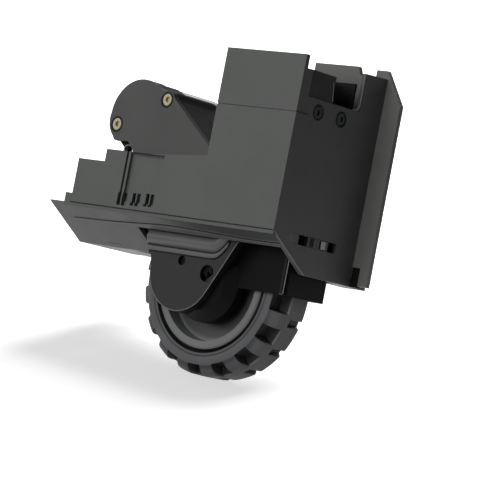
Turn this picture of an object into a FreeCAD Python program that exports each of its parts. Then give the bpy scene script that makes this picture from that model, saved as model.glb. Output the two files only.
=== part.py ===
import FreeCAD, Part
import math
import os
import Sketcher

# Drive wheel module of a robot vacuum: a well housing, and a sprung swing arm that carries the
# motor, a five stage spur gear train and the wheel.
# Frame: +X to the right along the outer wall, +Y inboard, +Z up. The origin is midway between
# the two rear screw holes, on the flat underside.

# Driving dimensions in millimetres: name, value, meaning.
SIZES = [
    ("wall", 2.0, "wall of the moulded housing"),
    ("skin", 1.5, "wall of the gear case"),
    ("run", 0.05, "radial clearance of a running fit"),
    ("slip", 0.1, "clearance of a piece that slips into a pocket"),
    ("side_x", 56.0, "right face of the side wall"),
    ("panel_left", 50.0, "left end of the front wall, left of the origin"),
    ("flange_left", 62.0, "left end of the bevelled flange, left of the origin"),
    ("front_y", 56.0, "front wall face, in front of the origin"),
    ("bevel_top", 13.6, "height at which the front wall meets the bevel"),
    ("bevel_foot", 34.4, "foot of the bevel, in front of the origin"),
    ("floor_back", 4.0, "back edge of the flat floor, in front of the origin"),
    ("panel_low", 31.2, "top of the front wall, left step"),
    ("panel_mid", 36.1, "top of the front wall, channel step"),
    ("panel_step", 35.9, "where the left step ends, left of the origin"),
    ("channel_x", 23.0, "middle of the channel in the front wall, left of the origin"),
    ("channel_wide", 3.6, "width of the channel"),
    ("channel_deep", 1.2, "depth of the channel"),
    ("panel_high", 38.2, "top of the front wall beside the tower"),
    ("panel_dent_right", 5.0, "right end of the recessed panel, left of the origin"),
    ("dent", 0.8, "depth of the recessed panel"),
    ("window_w", 4.2, "width of a small window in the front wall"),
    ("window_h", 5.0, "height of a small window"),
    ("window_pitch", 7.05, "distance between the small windows"),
    ("window_z", 15.2, "lower edge of the small windows"),
    ("tower_left", 16.5, "left edge of the tower"),
    ("groove", 0.45, "height and depth of the groove along the tower's seam"),
    ("seam_z", 58.4, "seam between the housing and the tower cap"),
    ("cap_top", 79.9, "top of the tower cap"),
    ("ceiling_thick", 3.0, "floor plate of the tower cap"),
    ("cap_side", 7.5, "depth of the cap at the side, from the front face"),
    ("side_low", 74.6, "top of the side wall at its front end"),
    ("window_floor", 65.1, "lower edge of the side window"),
    ("window_back", 20.0, "back edge of the side window, in front of the origin"),
    ("side_high", 80.4, "top of the side wall at its back end"),
    ("plate_y", 7.0, "front face of the rear plate, in front of the origin"),
    ("plate_thick", 2.0, "rear plate"),
    ("plate_top", 84.5, "top of the rear plate"),
    ("plate_notch", 81.3, "floor of the notch in the rear plate"),
    ("foot_back", 6.0, "back edge of the screw ears, behind the origin"),
    ("ear_x", 64.3, "right edge of the ear of the rear plate"),
    ("ear_top", 70.7, "top of the ear's straight edge"),
    ("slot_left", 20.0, "left end of the wheel slot, left of the origin"),
    ("slot_right", 53.6, "right end of the wheel slot"),
    ("slot_front", 47.3, "front edge of the wheel slot, in front of the origin"),
    ("slot_back", 11.4, "back edge of the wheel slot, in front of the origin"),
    ("screw_span", 96.0, "distance between the two rear screw holes"),
    ("screw_hole", 3.4, "diameter of a chassis screw hole"),
    ("corner_hole_x", 55.5, "front left screw hole, left of the origin"),
    ("corner_hole_y", 26.0, "front left screw hole, in front of the origin"),
    ("ledge", 2.5, "thickness of the ledges round the screw holes"),
    ("pivot_x", 41.0, "swing arm pivot, left of the origin"),
    ("pivot_z", 9.5, "height of the swing arm pivot"),
    ("pivot_pin_r", 1.5, "radius of the pivot pin"),
    ("pivot_tube_r", 4.6, "radius of the arm's pivot tube"),
    ("bush_r", 2.6, "outer radius of a pivot bush"),
    ("bush_long", 4.0, "length of a pivot bush"),
    ("cover_y", 53.0, "front of the gear case, in front of the origin"),
    ("lobe_y", 44.5, "front of the lower lobe, in front of the origin"),
    ("lobe_deep", 3.0, "depth of the outer gear case at its lobe"),
    ("cradle_back", 28.0, "back of the motor cradle, in front of the origin"),
    ("motor_x", 25.7, "motor axis, left of the origin"),
    ("motor_z", 50.5, "height of the motor axis"),
    ("cover_r", 14.5, "round end of the gear case over the motor"),
    ("motor_r", 13.85, "radius of the motor can"),
    ("motor_back", 14.0, "back of the motor can, in front of the origin"),
    ("shaft_r", 1.15, "radius of the motor shaft"),
    ("ear_r", 3.5, "radius of a screw ear"),
    ("screw_x", 12.0, "upper case screw, left of the origin"),
    ("screw_z", 58.1, "height of the upper case screw"),
    ("screw_left", 36.0, "left case screw, left of the origin"),
    ("screw_left_z", 46.6, "height of the left case screw"),
    ("lobe_left_r", 8.6, "radius of the round below the left case screw"),
    ("case_left", 25.3, "left edge of the gear case, left of the origin"),
    ("shelf_z", 15.5, "underside of the thick upper gear case"),
    ("lobe_x", 4.0, "centre of the lower lobe"),
    ("lobe_z", -5.2, "height of the centre of the lower lobe"),
    ("lobe_r", 16.2, "radius of the lower lobe"),
    ("lobe_right", 30.3, "right end of the lobe's straight edge"),
    ("lobe_right_z", 8.4, "height of the right end of the lobe's straight edge"),
    ("bead_r", 2.5, "radius of the bead across the lobe"),
    ("bead_z", 5.4, "height of the bead across the lobe"),
    ("small_hole_r", 1.85, "small hole in the lobe"),
    ("small_hole_x", 3.4, "small hole in the lobe"),
    ("small_hole_z", -1.8, "height of the small hole in the lobe"),
    ("big_hole_r", 3.3, "large hole in the lobe"),
    ("big_hole_x", 17.2, "large hole in the lobe"),
    ("big_hole_z", -5.3, "height of the large hole in the lobe"),
    ("wheel_x", 12.0, "wheel axis"),
    ("wheel_z", -7.7, "height of the wheel axis"),
    ("tyre_r", 36.0, "outer radius of the tyre"),
    ("tyre_front", 36.0, "outer face of the tyre, in front of the origin"),
    ("tyre_wide", 18.0, "width of the tyre"),
    ("rim_r", 26.2, "outer radius of the wheel rim"),
    ("rim_inner_r", 22.4, "inner radius of the wheel rim"),
    ("dish", 5.2, "depth of the dished disc below the rim"),
    ("disc_thick", 2.2, "thickness of the dished disc"),
    ("hub_r", 6.5, "radius of the wheel hub"),
    ("axle_r", 2.5, "radius of the wheel axle"),
    ("drum_r", 16.0, "radius of the drum round the drive gear"),
    ("drum_cap_r", 11.8, "radius of the flat front of the drum"),
    ("boss_r", 7.3, "radius of the bearing boss"),
    ("boss_deep", 4.4, "depth of the bearing boss behind the gear case"),
    ("bearing_r", 5.5, "outer radius of the axle bearing"),
    ("fender_gap", 2.4, "room between the tyre and the fender"),
    ("fender_wall", 1.6, "wall of the wheel fender"),
    ("fender_right", 50.8, "right face of the wheel fender"),
    ("fender_back", 14.0, "back of the wheel fender, in front of the origin"),
    ("fender_front", 38.0, "front of the wheel fender, in front of the origin"),
    ("fender_low", -8.5, "underside of the wheel fender"),
    ("block_r", 2.4, "depth of a tread pocket"),
    ("backlash", 0.15, "backlash of each gear pair"),
    ("pin_r", 1.0, "radius of a gear pin"),
    ("web_left", 40.0, "left side of the arm's web, left of the origin"),
    ("web_right", 27.0, "right side of the arm's web, left of the origin"),
    ("web_low", 10.5, "underside of the arm's web"),
    ("web_high", 20.0, "top of the arm's web"),
    ("web_back", 14.6, "back of the arm's web, in front of the origin"),
    ("spring_x", 29.4, "drop spring, left of the origin"),
    ("spring_r", 2.7, "outer radius of the drop spring"),
    ("spring_wire", 0.9, "wire of the drop spring"),
    ("spring_low", 15.8, "lower eye of the drop spring"),
    ("spring_high", 37.4, "upper eye of the drop spring"),
    ("spring_y", 50.7, "drop spring, in front of the origin"),
    ("lever_long", 12.0, "length of the switch lever"),
    ("finger_long", 7.0, "length of the arm's switch finger"),
    ("catch_y", 33.0, "catch in the side wall, in front of the origin"),
    ("catch_z", 12.6, "height of the catch in the side wall"),
    ("catch_slot", 21.0, "length of the slot for the catch"),
    ("catch_high", 3.8, "height of the slot for the catch"),
]

PRESSURE_ANGLE = math.radians(25.0)


class Size(float):
    """A length that remembers the spreadsheet expression it came from."""

    def __new__(cls, value, text):
        size = float.__new__(cls, value)
        size.text = text
        return size

    def __neg__(self):
        return Size(-float(self), "-(%s)" % self.text)

    def __add__(self, other):
        return Size(float(self) + float(other), "(%s + %s)" % (self.text, text_of(other)))

    def __radd__(self, other):
        return Size(float(other) + float(self), "(%s + %s)" % (text_of(other), self.text))

    def __sub__(self, other):
        return Size(float(self) - float(other), "(%s - %s)" % (self.text, text_of(other)))

    def __rsub__(self, other):
        return Size(float(other) - float(self), "(%s - %s)" % (text_of(other), self.text))

    def __mul__(self, other):
        return Size(float(self) * float(other), "(%s * %s)" % (self.text, text_of(other)))

    def __rmul__(self, other):
        return self.__mul__(other)

    def __truediv__(self, other):
        return Size(float(self) / float(other), "(%s / %s)" % (self.text, text_of(other)))


def text_of(value):
    """Expression text of a number or a size."""
    if isinstance(value, Size):
        return value.text
    return "(%.9g)" % float(value)


class Sheet:
    """The driving dimensions, as attributes that carry their spreadsheet names."""


doc = FreeCAD.newDocument("WheelModule")


def make_sheet():
    """Write the driving dimensions into a spreadsheet and return them as sizes."""
    cells = doc.addObject("Spreadsheet::Sheet", "Sizes")
    values = Sheet()
    for row, (name, value, meaning) in enumerate(SIZES, start=1):
        cells.set("A%d" % row, name)
        cells.set("B%d" % row, str(value))
        cells.set("C%d" % row, meaning)
        cells.setAlias("B%d" % row, name)
        setattr(values, name, Size(value, "Sizes." + name))
    doc.recompute()
    return values


s = make_sheet()
PIECES = []


def bind(thing, path, value):
    """Tie a property to the spreadsheet where the value came from it."""
    if isinstance(value, Size):
        thing.setExpression(path, value.text)


class Piece:
    """A moulded or machined piece, built up from pads, pockets and turned shapes.

    A shape is drawn in the plane XZ, XY or YZ and runs between two places on the third axis.
    """

    ROLES = {"XZ": "XZ_Plane", "XY": "XY_Plane", "YZ": "YZ_Plane"}

    def __init__(self, label):
        self.body = doc.addObject("PartDesign::Body", label)
        self.body.Label = label
        self.label = label
        self.count = 0
        PIECES.append(self.body)

    def sketch(self, plane, shapes, at):
        """Sketch closed shapes on an origin plane moved to a place on its normal."""
        self.count += 1
        sketch = self.body.newObject("Sketcher::SketchObject", "%s_sketch_%d" % (self.label, self.count))
        role = self.ROLES[plane]
        origin_plane = next(item for item in self.body.Origin.OriginFeatures if item.Role == role)
        sketch.AttachmentSupport = [(origin_plane, "")]
        sketch.MapMode = "FlatFace"
        height = -at if plane == "XZ" else at
        sketch.AttachmentOffset = FreeCAD.Placement(FreeCAD.Vector(0, 0, float(height)), FreeCAD.Rotation())
        bind(sketch, ".AttachmentOffset.Base.z", height)
        for shape in shapes:
            if shape[0] == "circle":
                draw_circle(sketch, *shape[1:])
            elif shape[0] == "outline":
                draw_outline(sketch, shape[1])
            else:
                draw_polygon(sketch, shape)
        return sketch

    def pad(self, plane, shapes, low, high):
        """Add material between two places on the plane's normal."""
        start = high if plane == "XZ" else low
        sketch = self.sketch(plane, shapes, start)
        pad = self.body.newObject("PartDesign::Pad", "%s_pad_%d" % (self.label, self.count))
        pad.Profile = sketch
        pad.Length = float(high) - float(low)
        bind(pad, "Length", high - low)
        self.body.Tip = pad
        return pad

    def pocket(self, plane, shapes, low, high):
        """Cut between two places on the plane's normal, and check that material went."""
        start = low if plane == "XZ" else high
        sketch = self.sketch(plane, shapes, start)
        doc.recompute()
        before = self.body.Shape.Volume
        pocket = self.body.newObject("PartDesign::Pocket", "%s_pocket_%d" % (self.label, self.count))
        pocket.Profile = sketch
        pocket.Length = float(high) - float(low)
        bind(pocket, "Length", high - low)
        self.body.Tip = pocket
        doc.recompute()
        if not self.body.Shape.Volume < before - 0.001:
            raise RuntimeError("a pocket of %s cuts nothing" % self.label)
        return pocket

    def revolve(self, shapes, x, z):
        """Turn a half profile, drawn as radius and Y, about an axis along Y through x and z."""
        self.count += 1
        sketch = self.body.newObject("Sketcher::SketchObject", "%s_sketch_%d" % (self.label, self.count))
        origin_plane = next(o for o in self.body.Origin.OriginFeatures if o.Role == "XY_Plane")
        sketch.AttachmentSupport = [(origin_plane, "")]
        sketch.MapMode = "FlatFace"
        sketch.AttachmentOffset = FreeCAD.Placement(
            FreeCAD.Vector(float(x), 0, float(z)), FreeCAD.Rotation())
        bind(sketch, ".AttachmentOffset.Base.x", x)
        bind(sketch, ".AttachmentOffset.Base.z", z)
        for shape in shapes:
            draw_polygon(sketch, shape)
        turn = self.body.newObject("PartDesign::Revolution", "%s_turn_%d" % (self.label, self.count))
        turn.Profile = sketch
        turn.ReferenceAxis = (sketch, ["V_Axis"])
        turn.Angle = 360.0
        self.body.Tip = turn
        return turn

    def fillet(self, corners, radius, axis):
        """Round the edges along an axis that stand at the given corners."""
        doc.recompute()
        base = self.body.Tip
        names = []
        for number, edge in enumerate(base.Shape.Edges, start=1):
            if edge_at(edge, corners, axis):
                names.append("Edge%d" % number)
        if not names:
            raise RuntimeError("no edge to round on %s" % self.label)
        self.count += 1
        fillet = self.body.newObject("PartDesign::Fillet", "%s_fillet_%d" % (self.label, self.count))
        fillet.Base = (base, names)
        fillet.Radius = float(radius)
        bind(fillet, "Radius", radius)
        self.body.Tip = fillet
        return fillet


def edge_at(edge, corners, axis):
    """True where a straight edge runs along the axis through one of the corners."""
    if len(edge.Vertexes) != 2:
        return False
    first, last = (vertex.Point for vertex in edge.Vertexes)
    others = [index for index in range(3) if index != "XYZ".index(axis)]
    if any(abs(first[index] - last[index]) > 0.001 for index in others):
        return False
    for corner in corners:
        if all(abs(first[index] - float(value)) < 0.01 for index, value in zip(others, corner)):
            return True
    return False


def pin_point(sketch, shape, position, x, y):
    """Hold a point of a sketch shape at x and y, tied to the sheet."""
    for kind, value in (("DistanceX", x), ("DistanceY", y)):
        index = sketch.addConstraint(Sketcher.Constraint(kind, -1, 1, shape, position, float(value)))
        bind(sketch, "Constraints[%d]" % index, value)


def draw_polygon(sketch, points):
    """Draw a closed polygon and pin each corner."""
    first = sketch.GeometryCount
    corners = [FreeCAD.Vector(float(x), float(y), 0) for x, y in points]
    total = len(corners)
    for index in range(total):
        sketch.addGeometry(Part.LineSegment(corners[index], corners[(index + 1) % total]), False)
    for index in range(total):
        following = first + (index + 1) % total
        sketch.addConstraint(Sketcher.Constraint("Coincident", first + index, 2, following, 1))
    for index, (x, y) in enumerate(points):
        pin_point(sketch, first + index, 1, x, y)


def draw_circle(sketch, x, y, radius):
    """Draw a circle and pin its centre and radius."""
    centre = FreeCAD.Vector(float(x), float(y), 0)
    shape = sketch.addGeometry(Part.Circle(centre, FreeCAD.Vector(0, 0, 1), float(radius)), False)
    index = sketch.addConstraint(Sketcher.Constraint("Radius", shape, float(radius)))
    bind(sketch, "Constraints[%d]" % index, radius)
    pin_point(sketch, shape, 3, x, y)


def draw_outline(sketch, curves):
    """Draw lines and arcs that were worked out from the sizes."""
    first = sketch.GeometryCount
    for curve in curves:
        sketch.addGeometry(curve, False)
    total = len(curves)
    for index in range(total):
        following = first + (index + 1) % total
        sketch.addConstraint(Sketcher.Constraint("Coincident", first + index, 2, following, 1))
        sketch.addConstraint(Sketcher.Constraint("Block", first + index))


def box(low_x, low_y, high_x, high_y):
    """Corners of a rectangle."""
    return [(low_x, low_y), (high_x, low_y), (high_x, high_y), (low_x, high_y)]


def make_group(label, solids):
    """A piece, or a set of like pieces, of one or more separate solids."""
    feature = doc.addObject("Part::Feature", label)
    feature.Label = label
    feature.Shape = solids[0] if len(solids) == 1 else Part.makeCompound(solids)
    feature.Placement = FreeCAD.Placement()
    PIECES.append(feature)
    return feature


def rod(x, y, z, radius, length, axis=(0, 1, 0)):
    """A cylinder from a point along an axis."""
    point = FreeCAD.Vector(float(x), float(y), float(z))
    return Part.makeCylinder(float(radius), float(length), point, FreeCAD.Vector(*axis))


def tube(x, y, z, outer, inner, length, axis=(0, 1, 0)):
    """A cylinder with a bore."""
    return rod(x, y, z, outer, length, axis).cut(rod(x, y, z, inner, length, axis))


def star_recess(point, axis, radius, depth):
    """Six lobed driver recess as a solid to cut from a screw head."""
    tool = Part.makeCylinder(radius * 0.72, depth, point, axis)
    side = axis.cross(FreeCAD.Vector(0.3, 0.5, 0.81)).normalize()
    for step in range(6):
        turned = FreeCAD.Rotation(axis, 60.0 * step).multVec(side)
        tool = tool.fuse(Part.makeCylinder(radius * 0.28, depth, point + turned * radius * 0.75, axis))
    return tool


def make_screw(point, axis, head_r, head_high, shank_r, shank_long):
    """A pan head screw: the point is under its head and the axis points along its shank."""
    start = FreeCAD.Vector(*[float(value) for value in point])
    way = FreeCAD.Vector(*axis)
    top = start - way * head_high
    head = Part.makeCylinder(head_r, head_high, top, way)
    shank = Part.makeCylinder(shank_r, shank_long, start, way)
    recess = star_recess(top, way, head_r * 0.52, head_high * 0.6)
    return head.fuse(shank).cut(recess).removeSplitter()


def polar(radius, angle):
    """Point at a radius and an angle in radians."""
    return radius * math.cos(angle), radius * math.sin(angle)


def circle_cross(first, first_r, second, second_r, side):
    """Where two circles cross, on the chosen side of the line between their centres."""
    dx = second[0] - first[0]
    dz = second[1] - first[1]
    apart = math.hypot(dx, dz)
    along = (apart * apart + first_r * first_r - second_r * second_r) / (2.0 * apart)
    across = side * math.sqrt(max(first_r * first_r - along * along, 0.0))
    return (first[0] + (along * dx - across * dz) / apart, first[1] + (along * dz + across * dx) / apart)


# Gear train, from the motor to the wheel: module, teeth of the driver, teeth of the driven gear.
STAGES = [(0.5, 12, 48), (0.6, 14, 34), (0.6, 12, 30), (0.8, 17, 36), (0.8, 12, 24)]
ADDENDUM = 0.95
DEDENDUM = 1.25


def stage_distance(stage):
    """Distance between the axes of a gear pair."""
    module, driver, driven = STAGES[stage]
    return module * (driver + driven) / 2.0


def step_from(point, distance, degrees):
    """The point at a distance and a direction from another."""
    angle = math.radians(degrees)
    return point[0] + distance * math.cos(angle), point[1] + distance * math.sin(angle)


MOTOR = (float(-s.motor_x), float(s.motor_z))
WHEEL = (float(s.wheel_x), float(s.wheel_z))
PIVOT = (float(-s.pivot_x), float(s.pivot_z))
GEAR_1 = step_from(MOTOR, stage_distance(0), -28.0)
GEAR_2 = step_from(GEAR_1, stage_distance(1), -60.0)
GEAR_3 = step_from(GEAR_2, stage_distance(2), -17.0)
GEAR_4 = circle_cross(GEAR_3, stage_distance(3), WHEEL, stage_distance(4), -1)
AXES = [MOTOR, GEAR_1, GEAR_2, GEAR_3, GEAR_4, WHEEL]

# Planes of the gears along Y, each as its front and its back.
PINION_Y = [(-51.2, -49.4), (-49.4, -47.3), (-47.3, -44.9), (-44.9, -40.4), (-40.4, -35.4)]
DRIVEN_Y = [(-51.2, -49.4), (-49.1, -47.3), (-46.9, -44.9), (-42.9, -40.4), (-39.8, -35.4)]
TOOTH_ROOM = 0.5
TREAD_BLOCKS = 17


def involute_angle(radius, base):
    """Polar angle that an involute has gained at a radius."""
    ratio = math.sqrt(max(radius * radius / (base * base) - 1.0, 0.0))
    return ratio - math.atan(ratio)


def gear_wire(module, teeth, centre, phase, y):
    """Outline of a spur gear in a plane across Y, with a tooth centred at the phase angle."""
    pitch_r = module * teeth / 2.0
    base_r = pitch_r * math.cos(PRESSURE_ANGLE)
    tip_r = pitch_r + ADDENDUM * module
    root_r = pitch_r - DEDENDUM * module
    half_tooth = math.pi / (2.0 * teeth) - float(s.backlash) / (2.0 * pitch_r)
    half_base = half_tooth + involute_angle(pitch_r, base_r)
    radii = [root_r, max(base_r, root_r + 0.05 * module), pitch_r, tip_r]
    points = []
    for tooth in range(teeth):
        middle = phase + 2.0 * math.pi * tooth / teeth
        halves = [half_base - involute_angle(max(radius, base_r), base_r) for radius in radii]
        flank = [(radius, middle - half) for radius, half in zip(radii, halves)]
        flank += [(radius, middle + half) for radius, half in reversed(list(zip(radii, halves)))]
        for radius, angle in flank:
            x, z = polar(radius, angle)
            points.append(FreeCAD.Vector(centre[0] + x, y, centre[1] + z))
    points.append(points[0])
    return Part.makePolygon(points)


def gear_solid(module, teeth, centre, phase, span, bore_r):
    """A spur gear between two places along Y with a bore."""
    front, back = span
    face = Part.Face(gear_wire(module, teeth, centre, phase, front))
    solid = face.extrude(FreeCAD.Vector(0, back - front, 0))
    if bore_r:
        solid = solid.cut(rod(centre[0], front, centre[1], bore_r, back - front))
    return solid


def next_phase(stage, phase, driver_axis, driven_axis):
    """Phase of a driven gear that puts a gap where the driver has a tooth."""
    module, driver, driven = STAGES[stage]
    bearing = math.atan2(driven_axis[1] - driver_axis[1], driven_axis[0] - driver_axis[0])
    share = (bearing - phase) * driver / (2.0 * math.pi)
    return bearing + math.pi - (0.5 - share) * 2.0 * math.pi / driven


def make_gears():
    """The pinion on the motor shaft, four double gears and the drive gear of the wheel."""
    phases = []
    phase = 0.0
    for stage in range(len(STAGES)):
        driven_phase = next_phase(stage, phase, AXES[stage], AXES[stage + 1])
        phases.append((phase, driven_phase))
        phase = driven_phase
    bore_r = float(s.pin_r + s.run)
    shaft_bore = float(s.shaft_r)
    module, driver, driven = STAGES[0]
    make_group("motor_pinion", [gear_solid(module, driver, MOTOR, phases[0][0], PINION_Y[0], shaft_bore)])
    for stage in range(4):
        module, driver, driven = STAGES[stage]
        next_module, next_driver, next_driven = STAGES[stage + 1]
        axis = AXES[stage + 1]
        wheel = gear_solid(module, driven, axis, phases[stage][1], DRIVEN_Y[stage], bore_r)
        next_phase_angle = phases[stage + 1][0]
        pinion = gear_solid(next_module, next_driver, axis, next_phase_angle, PINION_Y[stage + 1], bore_r)
        hub_r = next_module * next_driver / 2.0 - DEDENDUM * next_module
        start = min(DRIVEN_Y[stage][0], PINION_Y[stage + 1][0])
        end = max(DRIVEN_Y[stage][1], PINION_Y[stage + 1][1])
        hub = tube(axis[0], start, axis[1], hub_r, bore_r, end - start)
        make_group("gear_%d" % (stage + 1), [wheel.fuse([pinion, hub]).removeSplitter()])
    module, driver, driven = STAGES[4]
    drive = gear_solid(module, driven, WHEEL, phases[4][1], DRIVEN_Y[4], float(s.axle_r))
    make_group("drive_gear", [drive])


def gear_pockets():
    """Room round each gear, as cylinders: axis, radius, front and back."""
    rooms = []
    for stage, (module, driver, driven) in enumerate(STAGES):
        tip = ADDENDUM * module + TOOTH_ROOM
        driver_span = PINION_Y[stage]
        driven_span = DRIVEN_Y[stage]
        pair = ((AXES[stage], driver, driver_span), (AXES[stage + 1], driven, driven_span))
        for axis, teeth, span in pair:
            rooms.append((axis, module * teeth / 2.0 + tip, span[0] - 0.2, span[1] + 0.2))
    return rooms


def case_outline(shelf):
    """Corners of the thick upper gear case, above a shelf, that the round ends are added to."""
    return [
        (-s.screw_left + 3.6, s.motor_z - 10.5),
        (-s.motor_x - 2.7, s.motor_z - 10.2),
        (-s.case_left + 1.0, s.panel_mid),
        (-s.case_left, s.panel_mid - 12.0),
        (-s.case_left + 1.3, shelf),
        (s.lobe_right + 1.9, shelf),
        (s.lobe_right - 5.8, s.motor_z - 16.8),
        (-s.screw_x + 4.4, s.screw_z + 0.1),
        (-s.screw_x + 1.5, s.screw_z + 3.2),
        (-s.screw_x - 2.0, s.screw_z + 2.9),
        (-s.motor_x + 4.2, s.motor_z + 13.7),
    ]


def lobe_tangent():
    """Where the straight right edge of the lobe leaves its round end."""
    dx = float(s.lobe_right - s.lobe_x)
    dz = float(s.lobe_right_z - s.lobe_z)
    apart = math.hypot(dx, dz)
    angle = math.atan2(dz, dx) - math.acos(float(s.lobe_r) / apart)
    x, z = polar(float(s.lobe_r), angle)
    return float(s.lobe_x) + x, float(s.lobe_z) + z


def lobe_outline(top):
    """Corners of the lower gear case above its round end."""
    tangent_x, tangent_z = lobe_tangent()
    return [
        (s.lobe_x, s.lobe_z),
        (tangent_x, tangent_z),
        (s.lobe_right, s.lobe_right_z),
        (s.lobe_right + 1.9, top),
        (-s.case_left + 1.3, top),
        (-s.case_left + 1.3, s.shelf_z),
        (-s.slot_left + 3.5, s.lobe_right_z - 1.4),
        (s.lobe_x - s.lobe_r - 1.4, s.lobe_z + 6.5),
        (s.lobe_x - s.lobe_r, s.lobe_z),
    ]


ZERO = s.wall * 0.0


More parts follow.
